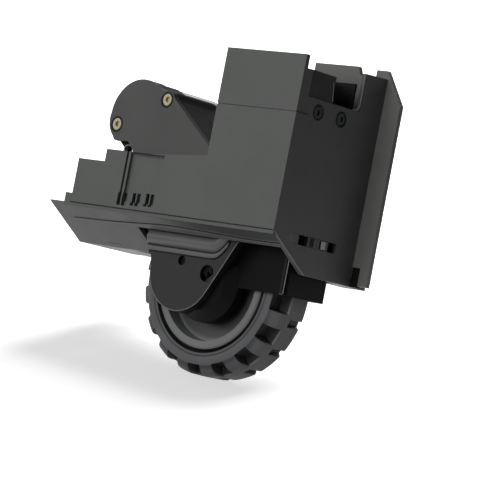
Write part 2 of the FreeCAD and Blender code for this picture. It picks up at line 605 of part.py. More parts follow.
def make_housing():
    """The moulded wheel well: stepped front wall, bevelled flange, side wall, rear wall and floor."""
    piece = Piece("wheel_housing")
    front = -s.front_y
    inner = front + s.wall
    left = -s.panel_left
    right = s.side_x
    plate = -s.plate_y
    top_of_bevel = s.bevel_top - 1.4
    channel_left = -s.channel_x - s.channel_wide / 2.0
    channel_right = -s.channel_x + s.channel_wide / 2.0
    piece.pad("XZ", [[
        (left - 3.5, top_of_bevel), (right, top_of_bevel), (right, s.seam_z), (s.tower_left, s.seam_z),
        (s.tower_left, s.panel_high), (channel_right, s.panel_mid - 0.8), (channel_right, s.panel_mid),
        (-s.panel_step, s.panel_mid), (-s.panel_step, s.panel_low), (left, s.panel_low),
        (left, s.bevel_top + 3.7), (left - 3.5, s.bevel_top + 3.7)]], front, inner)
    piece.pad("YZ", [[
        (front + 0.5, s.bevel_top), (front + 0.5, s.bevel_top - 0.1), (-s.bevel_foot, ZERO),
        (-s.bevel_foot + 2.0, ZERO), (-s.bevel_foot + 2.0, s.wall), (-s.bevel_foot + 0.6, s.wall),
        (inner + 0.9, s.bevel_top + 0.2), (inner, s.bevel_top + 0.2), (inner - 0.5, s.bevel_top)]],
        -s.flange_left, right)
    piece.pad("XY", [box(-s.flange_left, -s.bevel_foot + 0.6, right, -s.floor_back)], ZERO, s.wall)
    piece.pad("YZ", [[
        (front + 0.5, s.bevel_top), (-s.bevel_foot, ZERO), (-s.floor_back, ZERO),
        (-s.floor_back, s.wall), (plate, s.wall), (plate, s.side_high), (-s.window_back, s.side_high - 0.5),
        (-s.window_back, s.window_floor), (front + s.cap_side, s.window_floor),
        (front + s.cap_side, s.seam_z), (front + 0.5, s.seam_z)]], right - s.wall, right)
    piece.pad("YZ", [[
        (inner - 1.0, s.bevel_top + 0.2), (-s.bevel_foot + 1.0, s.wall * 0.5), (plate, s.wall * 0.5),
        (plate, s.panel_low), (inner - 1.0, s.panel_low)]], left, left + s.wall)
    piece.pad("XZ", [box(left, s.wall * 0.5, right - 1.0, s.panel_mid)], plate - s.wall, plate)
    piece.pad("XY", [box(-s.screw_span / 2.0 - 5.5, plate - 0.5, -s.screw_span / 2.0 + 5.5, s.foot_back),
                     box(s.screw_span / 2.0 - 5.5, plate - 0.5, s.screw_span / 2.0 + 5.5, s.foot_back)],
              ZERO, s.ledge)
    stem = s.pivot_tube_r - 1.4
    piece.pad("XZ", [box(-s.pivot_x - stem, s.wall * 0.5, -s.pivot_x + stem, s.pivot_z)],
              -s.catch_y - 3.4, -s.catch_y - 0.4)
    piece.pad("XZ", [box(-s.pivot_x - stem, s.wall * 0.5, -s.pivot_x + stem, s.pivot_z)],
              plate - 4.6, plate - 1.0)
    for low, high in ((-s.catch_y - 3.4, -s.catch_y - 0.4), (plate - 4.6, plate - 1.0)):
        piece.pad("XZ", [("circle", -s.pivot_x, s.pivot_z, s.pivot_tube_r - 0.6)], low, high)
    piece.pad("XZ", [("circle", -s.spring_x, s.spring_low, s.spring_r - 0.5)], inner - 0.5, inner + 0.5)
    piece.pad("XZ", [("circle", -s.spring_x, s.spring_low, s.spring_wire + 0.3)], inner - 0.5, inner + 5.4)
    for x in (22.0, 49.0):
        piece.pad("XZ", [box(x - 3.2, 26.8, x + 3.2, 33.2)], plate - 5.0, plate - 1.0)
    left_of_tyre = s.wheel_x - s.tyre_r - 1.6
    piece.pocket("XY", [[
        (-s.slot_left, -s.slot_front), (s.slot_right, -s.slot_front), (s.slot_right, -s.slot_back),
        (left_of_tyre, -s.slot_back), (left_of_tyre, -s.slot_back - 3.8),
        (left_of_tyre - 8.9, -s.bevel_foot + 2.4),
        (left_of_tyre + 0.6, -s.bevel_foot + 2.4), (left_of_tyre + 1.0, -s.bevel_foot + 0.9),
        (-s.slot_left - 2.4, -s.bevel_foot - 1.6), (-s.slot_left, -s.bevel_foot - 2.0)]],
        ZERO - 1.0, s.bevel_top - 2.0)
    piece.pocket("XZ", [box(s.tower_left - 0.5, s.seam_z - s.groove, right + 1.0, s.seam_z + 1.0)],
                 front - 1.0, front + s.groove)
    piece.pocket("XZ", [box(channel_left, s.window_z + 4.0, -s.channel_x - 0.7, s.panel_mid + 1.0),
                        box(-s.channel_x + 0.4, s.window_z + 4.0, channel_right, s.panel_mid + 1.0)],
                 front - 1.0, front + s.channel_deep)
    piece.pocket("XZ", [box(channel_right, s.window_z + 1.4, -s.panel_dent_right, s.panel_mid - 0.9)],
                 front - 1.0, front + s.dent)
    for step in range(3):
        low = -s.channel_x - 0.3 - s.window_w / 2.0 + s.window_pitch * step
        base = s.window_z + 0.4 * step - 0.2
        piece.pocket("XZ", [box(low, base, low + s.window_w * 0.42, base + s.window_h),
                            box(low + s.window_w * 0.58, base, low + s.window_w, base + s.window_h)],
                     front - 1.0, inner + 1.0)
    catch_low = s.catch_z - s.catch_high / 2.0
    catch_front = -s.catch_y - s.catch_slot * 0.31
    catch_back = catch_front + s.catch_slot
    piece.pocket("YZ", [box(catch_front, catch_low, catch_back, catch_low + s.catch_high)],
                 right - s.wall - 1.0, right + 1.0)
    piece.pocket("XY", [[(right + 0.01, catch_front - 7.0), (right + 0.01, catch_front + 0.5),
                         (right - s.wall * 0.7, catch_front + 0.5)]], catch_low, catch_low + s.catch_high)
    piece.pocket("YZ", [("circle", -s.catch_y - 10.7, s.seam_z + 1.7, s.ledge),
                        ("circle", -s.catch_y + 3.3, s.seam_z + 2.0, s.ledge)], right - 0.9, right + 1.0)
    piece.pocket("YZ", [("circle", -s.catch_y - 10.7, s.seam_z + 1.7, s.wall * 0.65),
                        ("circle", -s.catch_y + 3.3, s.seam_z + 2.0, s.wall * 0.65)],
                 right - s.wall - 1.0, right + 1.0)
    piece.pocket("XZ", [("circle", -s.pivot_x, s.pivot_z, s.pivot_pin_r + s.run)],
                 -s.catch_y - 5.0, plate + 1.0)
    for x in (22.0, 49.0):
        piece.pocket("XZ", [("circle", x * 1.0, 30.0, 1.0)], plate - 6.0, plate + 1.0)
    for x in (-s.pivot_x - 4.6, -s.pivot_x + 5.4):
        piece.pocket("XZ", [("circle", x, s.panel_low + 1.6, 0.8)], plate - s.wall - 1.0, plate + 1.0)
    piece.pocket("XY", [("circle", -s.screw_span / 2.0, ZERO, s.screw_hole / 2.0),
                        ("circle", s.screw_span / 2.0, ZERO, s.screw_hole / 2.0),
                        ("circle", -s.corner_hole_x, -s.corner_hole_y, s.screw_hole / 2.0)],
                 ZERO - 1.0, s.ledge + 1.0)
    return piece


def make_tower():
    """The cap of the tower, the rear plate with its notched top, and their screws."""
    piece = Piece("tower_cap")
    front = -s.front_y
    plate = -s.plate_y
    right = s.side_x
    inner_right = right - s.wall - s.slip
    seam = s.seam_z + 0.06
    piece.pad("XZ", [box(s.tower_left, seam, right, s.cap_top)], front, front + s.wall)
    piece.pad("YZ", [[
        (front, seam), (front + s.cap_side - 0.06, seam), (front + s.cap_side - 0.06, s.window_floor - 0.1),
        (front + 5.2, s.window_floor), (front + 5.2, s.side_low), (front + s.wall - 0.1, s.side_low),
        (front + s.wall - 0.1, s.cap_top), (front, s.cap_top)]], right - s.wall, right)
    piece.pad("XZ", [box(s.tower_left, seam, s.tower_left + s.wall, s.cap_top)],
              front + 1.0, plate - s.slip)
    piece.pad("XY", [[
        (s.tower_left, front + 1.0), (right - 1.0, front + 1.0), (right - 1.0, front + s.cap_side - 1.0),
        (inner_right, front + s.cap_side - 1.0), (inner_right, plate - s.slip),
        (s.tower_left, plate - s.slip)]], s.seam_z + 0.6, s.seam_z + 0.6 + s.ceiling_thick)
    for y, z in ((-s.catch_y - 10.7, s.seam_z + 1.7), (-s.catch_y + 3.3, s.seam_z + 2.0)):
        piece.pocket("YZ", [("circle", y, z, 0.9)], inner_right - 7.0, right - s.wall + 0.5)
    for x in (24.0, 48.0):
        piece.pocket("XZ", [("circle", x, s.seam_z + 2.1, 0.9)], plate - 6.0, plate + 1.0)
    back = Piece("rear_plate")
    rear = plate + s.plate_thick
    back.pad("XZ", [[
        (s.tower_left, s.ledge + 0.5), (right, s.ledge + 0.5), (right, 7.6), (right + 3.9, 7.6),
        (right + 3.9, 0.6), (s.ear_x, 0.6), (s.ear_x, s.ear_top), (right - 0.9, s.plate_top - 0.8),
        (right - 6.2, s.plate_top - 0.8), (right - 6.2, s.plate_notch), (right - 14.1, s.plate_notch),
        (right - 15.5, s.plate_top), (s.tower_left + 2.2, s.plate_top), (s.tower_left + 2.2, s.seam_z),
        (s.tower_left, s.seam_z)]], plate, rear)
    spots = [(22.0, 30.0), (49.0, 30.0), (24.0, float(s.seam_z) + 2.1), (48.0, float(s.seam_z) + 2.1)]
    back.pocket("XZ", [("circle", x, z, 1.4) for x, z in spots], plate - 1.0, rear + 1.0)
    make_group("rear_plate_screws", [
        make_screw((x, rear, z), (0, -1, 0), 2.3, 1.4, 1.0 - 0.1 * (z > 40.0), 6.5) for x, z in spots])
    sides = [(-s.catch_y - 10.7, s.seam_z + 1.7), (-s.catch_y + 3.3, s.seam_z + 2.0)]
    make_group("tower_screws", [
        make_screw((right - 0.9, y, z), (-1, 0, 0), 2.2, 0.8, 0.9, 7.0) for y, z in sides])


def make_connector():
    """The wiring block behind the side window: a socket with its pins, and an open bay beside it."""
    piece = Piece("connector_block")
    low = s.seam_z + 0.6 + s.ceiling_thick
    high = s.side_high - 5.0
    left = s.side_x - 26.0
    right = s.side_x - s.wall - 0.6
    front = -s.front_y + 3.5
    back = -s.window_back - 1.3
    bay = -s.catch_y - 5.0
    piece.pad("XY", [box(left, front, right, back)], low, high)
    piece.pocket("XY", [box(left + 1.6, front + 1.6, right - 1.6, bay - 1.2)], low + 4.0, high + 1.0)
    piece.pocket("YZ", [box(bay, low + 1.4, back - 0.9, high + 1.0)], left + 12.0, right + 1.0)
    pins = []
    for column in range(4):
        for row in range(2):
            x = float(left) + 5.7 + 4.0 * column
            y = float(front + bay) / 2.0 - 2.1 + 4.6 * row
            pins.append(Part.makeBox(0.8, 0.8, 7.0, FreeCAD.Vector(x - 0.4, y - 0.4, float(low) + 4.0)))
    make_group("connector_pins", pins)


def make_gear_case():
    """The two halves of the gear case, with the motor seat, the drum, the web and the pivot tube."""
    outer = Piece("gear_case_outer")
    front = -s.cover_y
    seam = front + 2.5
    lobe_front = -s.lobe_y
    lobe_back = lobe_front + s.lobe_deep
    back = -s.fender_front
    shelf_top = s.shelf_z + s.skin
    rounds = [("circle", -s.motor_x, s.motor_z, s.cover_r),
              ("circle", -s.screw_left + 4.1, s.screw_left_z + 2.0, s.lobe_left_r),
              ("circle", -s.screw_x, s.screw_z, s.ear_r)]
    outer.pad("XZ", [case_outline(s.shelf_z)], front, seam)
    for shape in rounds:
        outer.pad("XZ", [shape], front, seam)
    outer.pad("XZ", [box(-s.case_left + 1.3, s.shelf_z, s.lobe_right + 1.4, shelf_top)],
              seam - 1.0, lobe_back)
    outer.pad("XZ", [lobe_outline(shelf_top)], lobe_front, lobe_back)
    outer.pad("XZ", [("circle", s.lobe_x, s.lobe_z, s.lobe_r)], lobe_front, lobe_back)
    outer.pad("YZ", [("circle", lobe_front + 0.4, s.bead_z, s.bead_r)],
              -s.slot_left + 5.6, s.big_hole_x + 1.8)
    inner = Piece("gear_case_inner")
    inner.pad("XZ", [case_outline(shelf_top + s.slip)], seam, back)
    inner.pad("XZ", [rounds[0]], seam, -s.motor_back - 32.2)
    inner.pad("XZ", [rounds[1]], seam, -s.motor_back - 32.2)
    inner.pad("XZ", [rounds[2]], seam, -s.cradle_back)
    inner.pad("XZ", [lobe_outline(shelf_top + 1.0)], lobe_back, back)
    inner.pad("XZ", [("circle", s.lobe_x, s.lobe_z, s.lobe_r)], lobe_back, back)
    cradle_low = s.wheel_z + s.tyre_r + s.fender_gap + s.fender_wall + 1.4
    inner.pad("XZ", [[
        (-s.case_left + 5.3, cradle_low), (s.lobe_right - 14.8, cradle_low),
        (s.lobe_right - 14.8, s.motor_z - 9.6),
        (-s.screw_x + 4.4, s.screw_z + 0.1), (-s.screw_x + 1.5, s.screw_z + 3.2),
        (-s.case_left + 5.3, s.screw_z + 2.9)]], back - 1.0, -s.cradle_back)
    inner.pad("XZ", [box(-s.web_left + 4.0, s.web_low, -s.case_left + 5.3, s.web_high)], lobe_back, back)
    inner.pad("XY", [box(-s.web_left + 4.0, back - 1.0, -s.web_right, -s.web_back)],
              s.web_low, s.web_low + 4.0)
    inner.pad("XY", [box(-s.pivot_x, -s.catch_y, -s.web_left + 5.0, -s.web_back)],
              s.web_low, s.web_low + 3.6)
    inner.pad("XZ", [("circle", -s.pivot_x, s.pivot_z, s.pivot_tube_r)], -s.catch_y, -s.web_back + 2.2)
    inner.pad("XZ", [[
        (-s.pivot_x + 0.9, s.pivot_z + 3.0), (-s.pivot_x + 4.2, s.pivot_z + 2.0),
        (-s.pivot_x + 4.1, s.pivot_z + s.finger_long - 0.9),
        (-s.pivot_x + 2.3, s.pivot_z + s.finger_long)]],
        -s.web_back + 0.7, -s.web_back + 2.2)
    inner.revolve([[
        (ZERO, back - 3.2), (s.drum_cap_r, back - 3.2), (s.drum_r, back + 0.6),
        (s.drum_r, back + s.boss_deep),
        (ZERO, back + s.boss_deep)]], s.wheel_x, s.wheel_z)
    inner.pad("XZ", [("circle", GEAR_4[0], GEAR_4[1], s.boss_r)], back - 3.0, back + s.boss_deep)
    inner.pad("XZ", [("circle", s.wheel_x, s.wheel_z, s.bearing_r + 1.5)], back + s.boss_deep - 1.0,
              back + s.boss_deep + 2.2)
    corner = [(-s.screw_left - 4.0, s.motor_z - 10.4), (-s.motor_x - 2.7, s.motor_z - 10.2),
              (-s.case_left + 1.0, s.panel_mid), (-s.case_left + 1.0, s.panel_mid - 3.0),
              (-s.screw_left - 4.0, s.panel_mid - 3.0)]
    outer.pocket("XZ", [corner], front - 1.0, seam + 1.0)
    inner.pocket("XZ", [corner], seam - 1.0, -s.spring_y + s.spring_r - 1.3)
    inner.pad("XZ", [box(-s.spring_x - 1.4, s.spring_high - 1.3, -s.case_left + 1.2, s.spring_high + 1.3)],
              -s.spring_y + s.spring_r + 0.2, -s.spring_y + s.spring_r + 1.7)
    inner.pad("XZ", [("circle", -s.spring_x, s.spring_high, s.spring_wire + 0.2)], -s.spring_y - 1.6,
              -s.spring_y + s.spring_r + 1.0)
    for (axis, radius, low, high) in gear_pockets():
        if low < float(seam):
            outer.pocket("XZ", [("circle", axis[0], axis[1], radius)], ZERO + low, seam + 0.5)
        if low > float(lobe_front) and low < float(lobe_back):
            outer.pocket("XZ", [("circle", axis[0], axis[1], radius)], ZERO + low, lobe_back + 0.5)
        start = ZERO + max(low, float(seam) - 0.5)
        inner.pocket("XZ", [("circle", axis[0], axis[1], radius)], start, ZERO + high)
    for axis in AXES[1:4]:
        outer.pocket("XZ", [("circle", axis[0], axis[1], s.pin_r + 0.01)], front + 0.6, seam + 0.5)
    outer.pocket("XZ", [("circle", GEAR_4[0], GEAR_4[1], s.pin_r + 0.01)],
                 lobe_front + 0.5, lobe_back + 0.5)
    for axis, depth in zip(AXES[1:5], (-44.0, -42.0, -38.6, -34.2)):
        inner.pocket("XZ", [("circle", axis[0], axis[1], s.pin_r + 0.01)], seam - 0.5, ZERO + depth)
    spots = [(-s.screw_left, s.screw_left_z), (-s.screw_x, s.screw_z)]
    for x, z in spots:
        outer.pocket("XZ", [("circle", x, z, 2.8)], front - 1.0, front + 1.3)
        outer.pocket("XZ", [("circle", x, z, 1.3)], front, seam + 0.5)
        inner.pocket("XZ", [("circle", x, z, 1.0)], seam - 0.5, seam + 3.9)
    outer.pocket("XZ", [("circle", s.small_hole_x, s.small_hole_z, s.small_hole_r),
                        ("circle", s.big_hole_x, s.big_hole_z, s.big_hole_r)],
                 lobe_front - 1.0, lobe_back - 1.2)
    bore = s.motor_r + 0.2
    inner.pocket("XZ", [("circle", -s.motor_x, s.motor_z, bore)],
                 -s.motor_back - 32.2, -s.cradle_back + 1.0)
    inner.pocket("XZ", [("circle", -s.motor_x, s.motor_z, s.shaft_r + 2.0)], seam, -s.motor_back - 31.0)
    inner.pocket("XZ", [("circle", s.wheel_x, s.wheel_z, s.bearing_r + 0.01)],
                 back + 2.9, back + s.boss_deep + 3.0)
    inner.pocket("XZ", [("circle", s.wheel_x, s.wheel_z, s.bearing_r - 1.2)], back + 1.0, back + 3.5)
    inner.pocket("XZ", [("circle", -s.pivot_x, s.pivot_z, s.pivot_pin_r + 0.4)],
                 -s.catch_y - 1.0, -s.web_back + 3.0)
    bush_spans = ((-s.catch_y - 0.5, -s.catch_y + s.bush_long),
                  (-s.web_back + 2.2 - s.bush_long, -s.web_back + 3.0))
    for low, high in bush_spans:
        inner.pocket("XZ", [("circle", -s.pivot_x, s.pivot_z, s.bush_r + 0.01)], low, high)
    for step in (-8.0, 0.0):
        inner.pocket("XY", [("circle", s.wheel_x + step, -s.catch_y, 0.8)],
                     cradle_low - 1.0, cradle_low + 5.0)
    make_group("case_screws", [
        make_screw((x, float(front) + 1.3, z), (0, 1, 0), 2.4, 1.2, 1.0, 5.0) for x, z in spots])
    pins = [(GEAR_1, float(front) + 0.7, -44.1), (GEAR_2, float(front) + 0.7, -42.1),
            (GEAR_3, float(front) + 0.7, -38.7), (GEAR_4, float(lobe_front) + 0.6, -34.3)]
    for number, (axis, low, high) in enumerate(pins, start=1):
        make_group("gear_pin_%d" % number, [rod(axis[0], low, axis[1], s.pin_r, high - low)])
    return outer, inner


def make_fender():
    """The shroud over the wheel: a flat front, an arched top, a right wall and an inboard wall."""
    piece = Piece("wheel_fender")
    front = -s.fender_front
    back = -s.fender_back
    skin = s.fender_wall - 0.2
    outer_r = float(s.tyre_r + s.fender_gap + s.fender_wall)
    inner_r = outer_r - float(s.fender_wall)
    right = float(s.fender_right)
    for radius, edge, low_z, high_z, first, last, adds in (
            (outer_r, right, float(s.fender_low), 8.0, front, back, True),
            (inner_r, right - float(skin), float(s.fender_low) - 3.0, 5.0,
             front + skin, back - skin, False)):
        wx, wz = WHEEL
        start = (edge, wz + math.sqrt(radius * radius - (edge - wx) ** 2))
        end = (wx - math.sqrt(radius * radius - (high_z - wz) ** 2), high_z)
        top = (wx, wz + radius)
        arc = Part.Arc(*[FreeCAD.Vector(px, pz, 0) for px, pz in (start, top, end)])
        corners = [(end[0], end[1]), (-8.0, high_z), (-8.0, low_z), (edge, low_z), (start[0], start[1])]
        curves = [arc]
        for index in range(len(corners) - 1):
            here = FreeCAD.Vector(*corners[index], 0)
            there = FreeCAD.Vector(*corners[index + 1], 0)
            curves.append(Part.LineSegment(here, there))
        if adds:
            piece.pad("XZ", [("outline", curves)], first, last)
            piece.pad("XZ", [("circle", s.wheel_x, s.wheel_z, s.axle_r + 2.8)],
                      back - skin - 1.0, back + 0.3)
            piece.fillet([(right, float(front))], 2.4, "Z")
        else:
            piece.pocket("XZ", [("outline", curves)], first, last)
    crown = s.wheel_z + s.tyre_r + s.fender_gap + s.fender_wall + 1.4
    for step in (-8.0, 0.0):
        piece.pad("XY", [("circle", s.wheel_x + step, -s.catch_y, 3.0)], crown - 3.2, crown)
        piece.pocket("XY", [("circle", s.wheel_x + step, -s.catch_y, 1.2)], crown - 8.0, crown + 1.0)
        piece.pocket("XY", [("circle", s.wheel_x + step, -s.catch_y, 2.4)], crown - 8.0, crown - 2.2)
    for (x, z), radius in ((WHEEL, s.drum_r), (GEAR_4, s.boss_r)):
        piece.pocket("XZ", [("circle", x, z, radius + 0.4)], front - 1.0, front + skin + 0.2)
    piece.pocket("XZ", [("circle", s.wheel_x, s.wheel_z, s.axle_r + 1.21)], back - skin - 1.0, back + 1.0)
    make_group("fender_screws", [
        make_screw((s.wheel_x + step, -s.catch_y, crown - 2.2), (0, 0, 1), 2.0, 0.9, 0.8, 6.0)
        for step in (-8.0, 0.0)])
    bush = tube(s.wheel_x, back - skin - 0.8, s.wheel_z, s.axle_r + 1.2, s.axle_r + s.run, skin + 1.05)
    make_group("axle_bush", [bush])


TERMINAL_WAY = 8.6


def two_blocks(x, y, z, wide, deep, high):
    """A pair of blocks above and below the motor axis, where its two terminals stand."""
    blocks = []
    for way in (-TERMINAL_WAY, TERMINAL_WAY):
        corner = FreeCAD.Vector(x - wide / 2.0, y, z + way - high / 2.0)
        blocks.append(Part.makeBox(wide, deep, high, corner))
    return blocks


def make_motor():
    """The motor with its end cap, terminals, shaft and the encoder behind it."""
    x, z = MOTOR
    back = -float(s.motor_back)
    can = rod(x, back - 32.1, z, s.motor_r, 32.1)
    edges = [edge for edge in can.Edges if len(edge.Vertexes) == 1]
    can = can.makeFillet(0.8, edges).cut(rod(x, back - 33.0, z, s.shaft_r + 0.3, 34.0))
    make_group("motor_can", [can])
    cap = tube(x, back, z, s.motor_r - 0.6, s.shaft_r + 0.3, 1.8)
    make_group("motor_end_cap", [cap.cut(two_blocks(x, back - 0.1, z, 1.2, 2.0, 3.4))])
    make_group("motor_terminals", two_blocks(x, back + 0.1, z, 1.0, 5.0, 3.0))
    board = tube(x, back + 1.85, z, s.motor_r - 1.4, s.shaft_r + 0.5, 1.2)
    make_group("encoder_board", [board.cut(two_blocks(x, back + 1.5, z, 1.4, 2.0, 3.4))])
    make_group("motor_shaft", [rod(x, back - 37.2, z, s.shaft_r, 42.4)])
    make_group("encoder_magnet", [tube(x, back + 3.4, z, 4.0, s.shaft_r, 1.8)])


def make_wheel():
    """The rim with its dished disc, the tyre with its two rows of tread pockets, and the axle."""
    rim = Piece("wheel_rim")
    front = -s.tyre_front
    back = front + s.tyre_wide - 0.4
    hub_front = back - 12.6
    disc = front + s.dish + 1.6
    rim.revolve([[
        (s.axle_r, hub_front), (s.hub_r, hub_front), (s.hub_r + 0.6, disc), (s.rim_inner_r, disc - 1.2),
        (s.rim_inner_r + 0.5, front + 0.3), (s.rim_r - 0.8, front + 0.1), (s.rim_r - 0.2, front + 0.6),
        (s.rim_r - 0.2, back), (s.rim_inner_r, back), (s.rim_inner_r, disc + s.disc_thick),
        (s.hub_r + 1.0, disc + s.disc_thick), (s.hub_r, back + 1.8), (s.axle_r, back + 1.8)]],
        s.wheel_x, s.wheel_z)
    x, z = WHEEL
    low = -float(s.tyre_front)
    high = low + float(s.tyre_wide)
    outer_r = float(s.tyre_r)
    inner_r = float(s.rim_r) - 0.2
    corners = [(inner_r, low + 1.8), (inner_r + 1.1, low), (outer_r - 4.5, low), (outer_r - 1.8, low + 1.0),
               (outer_r - 0.5, low + 2.7), (outer_r, low + 4.5), (outer_r, high - 1.6),
               (outer_r - 0.8, high - 0.4), (outer_r - 2.2, high), (inner_r, high)]
    points = [FreeCAD.Vector(x + radius, y, z) for radius, y in corners]
    points.append(points[0])
    section = Part.Face(Part.makePolygon(points))
    ring = section.revolve(FreeCAD.Vector(x, 0, z), FreeCAD.Vector(0, 1, 0), 360)
    tools = []
    depth = float(s.block_r)
    pitch = 360.0 / TREAD_BLOCKS
    rows = ((0.0, low + 0.4, low + 5.7, 3.3), (0.5, high - 7.2, high + 1.0, 2.6))
    for step in range(TREAD_BLOCKS):
        for offset, first, last, half in rows:
            cutter = Part.makeBox(depth + 2.0, last - first, 2.0 * half,
                                  FreeCAD.Vector(outer_r - depth, first, -half))
            cutter.rotate(FreeCAD.Vector(0, 0, 0), FreeCAD.Vector(0, -1, 0), pitch * (step + offset) - 6.6)
            cutter.translate(FreeCAD.Vector(x, 0, z))
            tools.append(cutter)
    make_group("tyre", [ring.cut(tools)])
    groove_y = -float(s.fender_back) + 0.6
    start = DRIVEN_Y[4][0]
    axle = rod(x, start, z, s.axle_r, groove_y + 1.3 - start)
    make_group("drive_axle", [axle.cut(tube(x, groove_y, z, s.axle_r + 1.0, s.axle_r - 0.6, 0.62))])
    ring = tube(x, groove_y + 0.01, z, s.axle_r + 1.3, s.axle_r - 0.59, 0.6)
    gap = Part.makeBox(10.0, 2.0, 2.0, FreeCAD.Vector(x, groove_y - 0.5, z - 1.0))
    make_group("axle_clip", [ring.cut(gap)])
    race = tube(x, -float(s.fender_front) + 2.95, z, s.bearing_r, s.axle_r + 0.01, 3.8)
    relief = tube(x, -float(s.fender_front) + 2.0, z, s.bearing_r - 0.9, s.axle_r + 0.9, 1.2)
    make_group("axle_bearing", [race.cut(relief)])


SPRING_TURNS = 13
COIL_STEPS = 9
WIRE_SIDES = 6


def ring_points(x, y, z, radius, first, last):
    """Points of an eye of the spring, round an axis along Y, between two angles in degrees."""
    count = int((last - first) / 20.0)
    points = []
    for step in range(count + 1):
        angle = math.radians(first + (last - first) * step / count)
        points.append(FreeCAD.Vector(x + radius * math.cos(angle), y, z + radius * math.sin(angle)))
    return points


def coil_points(x, y, low, high, radius, turns):
    """Points of the coil, round an axis along Z."""
    count = turns * COIL_STEPS
    points = []
    for step in range(count + 1):
        angle = 2.0 * math.pi * step / COIL_STEPS
        height = low + (high - low) * step / count
        points.append(FreeCAD.Vector(x + radius * math.cos(angle), y + radius * math.sin(angle), height))
    return points


def bent_wire(path, radius):
    """A wire with a few flat sides along a path of points."""
    rings = []
    side = None
    for index, point in enumerate(path):
        ahead = path[min(index + 1, len(path) - 1)]
        behind = path[max(index - 1, 0)]
        way = (ahead - behind).normalize()
        if side is None:
            side = way.cross(FreeCAD.Vector(0, 1, 0))
        side = (side - way * side.dot(way)).normalize()
        other = way.cross(side)
        ring = []
        for number in range(WIRE_SIDES):
            angle = 2.0 * math.pi * number / WIRE_SIDES
            ring.append(point + side * (radius * math.cos(angle)) + other * (radius * math.sin(angle)))
        rings.append(ring)
    faces = [flat_face(rings[0]), flat_face(rings[-1])]
    for first, second in zip(rings, rings[1:]):
        for number in range(WIRE_SIDES):
            following = (number + 1) % WIRE_SIDES
            faces.append(flat_face([first[number], first[following], second[following]]))
            faces.append(flat_face([first[number], second[following], second[number]]))
    shell = Part.Shell(faces)
    shell.sewShape()
    return Part.Solid(shell)


def flat_face(points):
    """A flat face between corners."""
    return Part.Face(Part.makePolygon(points + [points[0]]))


def make_pivot():
    """The pivot pin with its clip, its two bushes, the drop switch with its lever, and the spring."""
    x, z = PIVOT
    plate = -float(s.plate_y)
    front = -float(s.catch_y) - 3.4
    pin = rod(x, front - 0.6, z, s.pivot_pin_r, plate - front + 0.6)
    head = rod(x, front - 1.8, z, s.pivot_pin_r + 1.2, 1.2)
    pin = pin.fuse(head).cut(tube(x, plate - 5.26, z, s.pivot_pin_r + 1.0, s.pivot_pin_r - 0.4, 0.62))
    make_group("pivot_pin", [pin.removeSplitter()])
    clip = tube(x, plate - 5.25, z, s.pivot_pin_r + 1.2, s.pivot_pin_r - 0.39, 0.6)
    gap = Part.makeBox(10.0, 2.0, 1.6, FreeCAD.Vector(x, plate - 6.0, z - 0.8))
    make_group("pivot_clip", [clip.cut(gap)])
    lows = (-float(s.catch_y) + 0.05, -float(s.web_back) + 2.22 - float(s.bush_long))
    bore = s.pivot_pin_r + s.run
    make_group("pivot_bushes", [tube(x, low, z, s.bush_r, bore, s.bush_long - 0.1) for low in lows])
    base = plate - 2.0
    block = Part.makeBox(14.0, 5.9, 5.7, FreeCAD.Vector(x - 6.6, base - 5.9, 30.3))
    holes = [rod(x + way, base - 7.0, float(s.panel_low) + 1.6, 1.1, 8.0) for way in (-4.6, 5.4)]
    hinge = rod(x, base - 5.4, 28.5, 0.8, 4.5)
    hanger = Part.makeBox(2.6, 1.5, 4.0, FreeCAD.Vector(x - 1.3, base - 2.9, 27.0))
    make_group("drop_switch", [block.cut(holes).fuse([hanger, hinge]).removeSplitter()])
    make_group("switch_screws", [
        make_screw((x + way, base - 5.9, float(s.panel_low) + 1.6), (0, 1, 0), 1.9, 1.1, 0.8, 7.6)
        for way in (-4.6, 5.4)])
    lever_low = base - 5.1
    arm = Part.makeBox(1.8, 1.6, 11.5, FreeCAD.Vector(x - 0.9, lever_low, 28.5 - float(s.lever_long)))
    hub = rod(x, lever_low, 28.5, 1.6, 1.6)
    lever = arm.fuse(hub).cut(rod(x, lever_low - 1.0, 28.5, 0.85, 4.0)).removeSplitter()
    lever.rotate(FreeCAD.Vector(x, 0, 28.5), FreeCAD.Vector(0, -1, 0), 7.3)
    make_group("switch_lever", [lever])
    sx = -float(s.spring_x)
    sy = -float(s.spring_y)
    radius = float(s.spring_r - s.spring_wire / 2.0)
    wire = float(s.spring_wire) / 2.0
    low_eye = float(s.spring_low) + 0.45
    high_eye = float(s.spring_high) - 0.55
    coil_low = low_eye + 2.3
    coil_high = high_eye - 2.3
    path = ring_points(sx, sy, low_eye, radius, 65.0, 345.0)
    path.append(FreeCAD.Vector(sx + radius, sy, low_eye + 0.4))
    path += coil_points(sx, sy, coil_low, coil_high, radius, SPRING_TURNS)
    path.append(FreeCAD.Vector(sx + radius, sy, high_eye - 0.4))
    path += ring_points(sx, sy, high_eye, radius, 15.0, 295.0)
    make_group("drop_spring", [bent_wire(path, wire)])


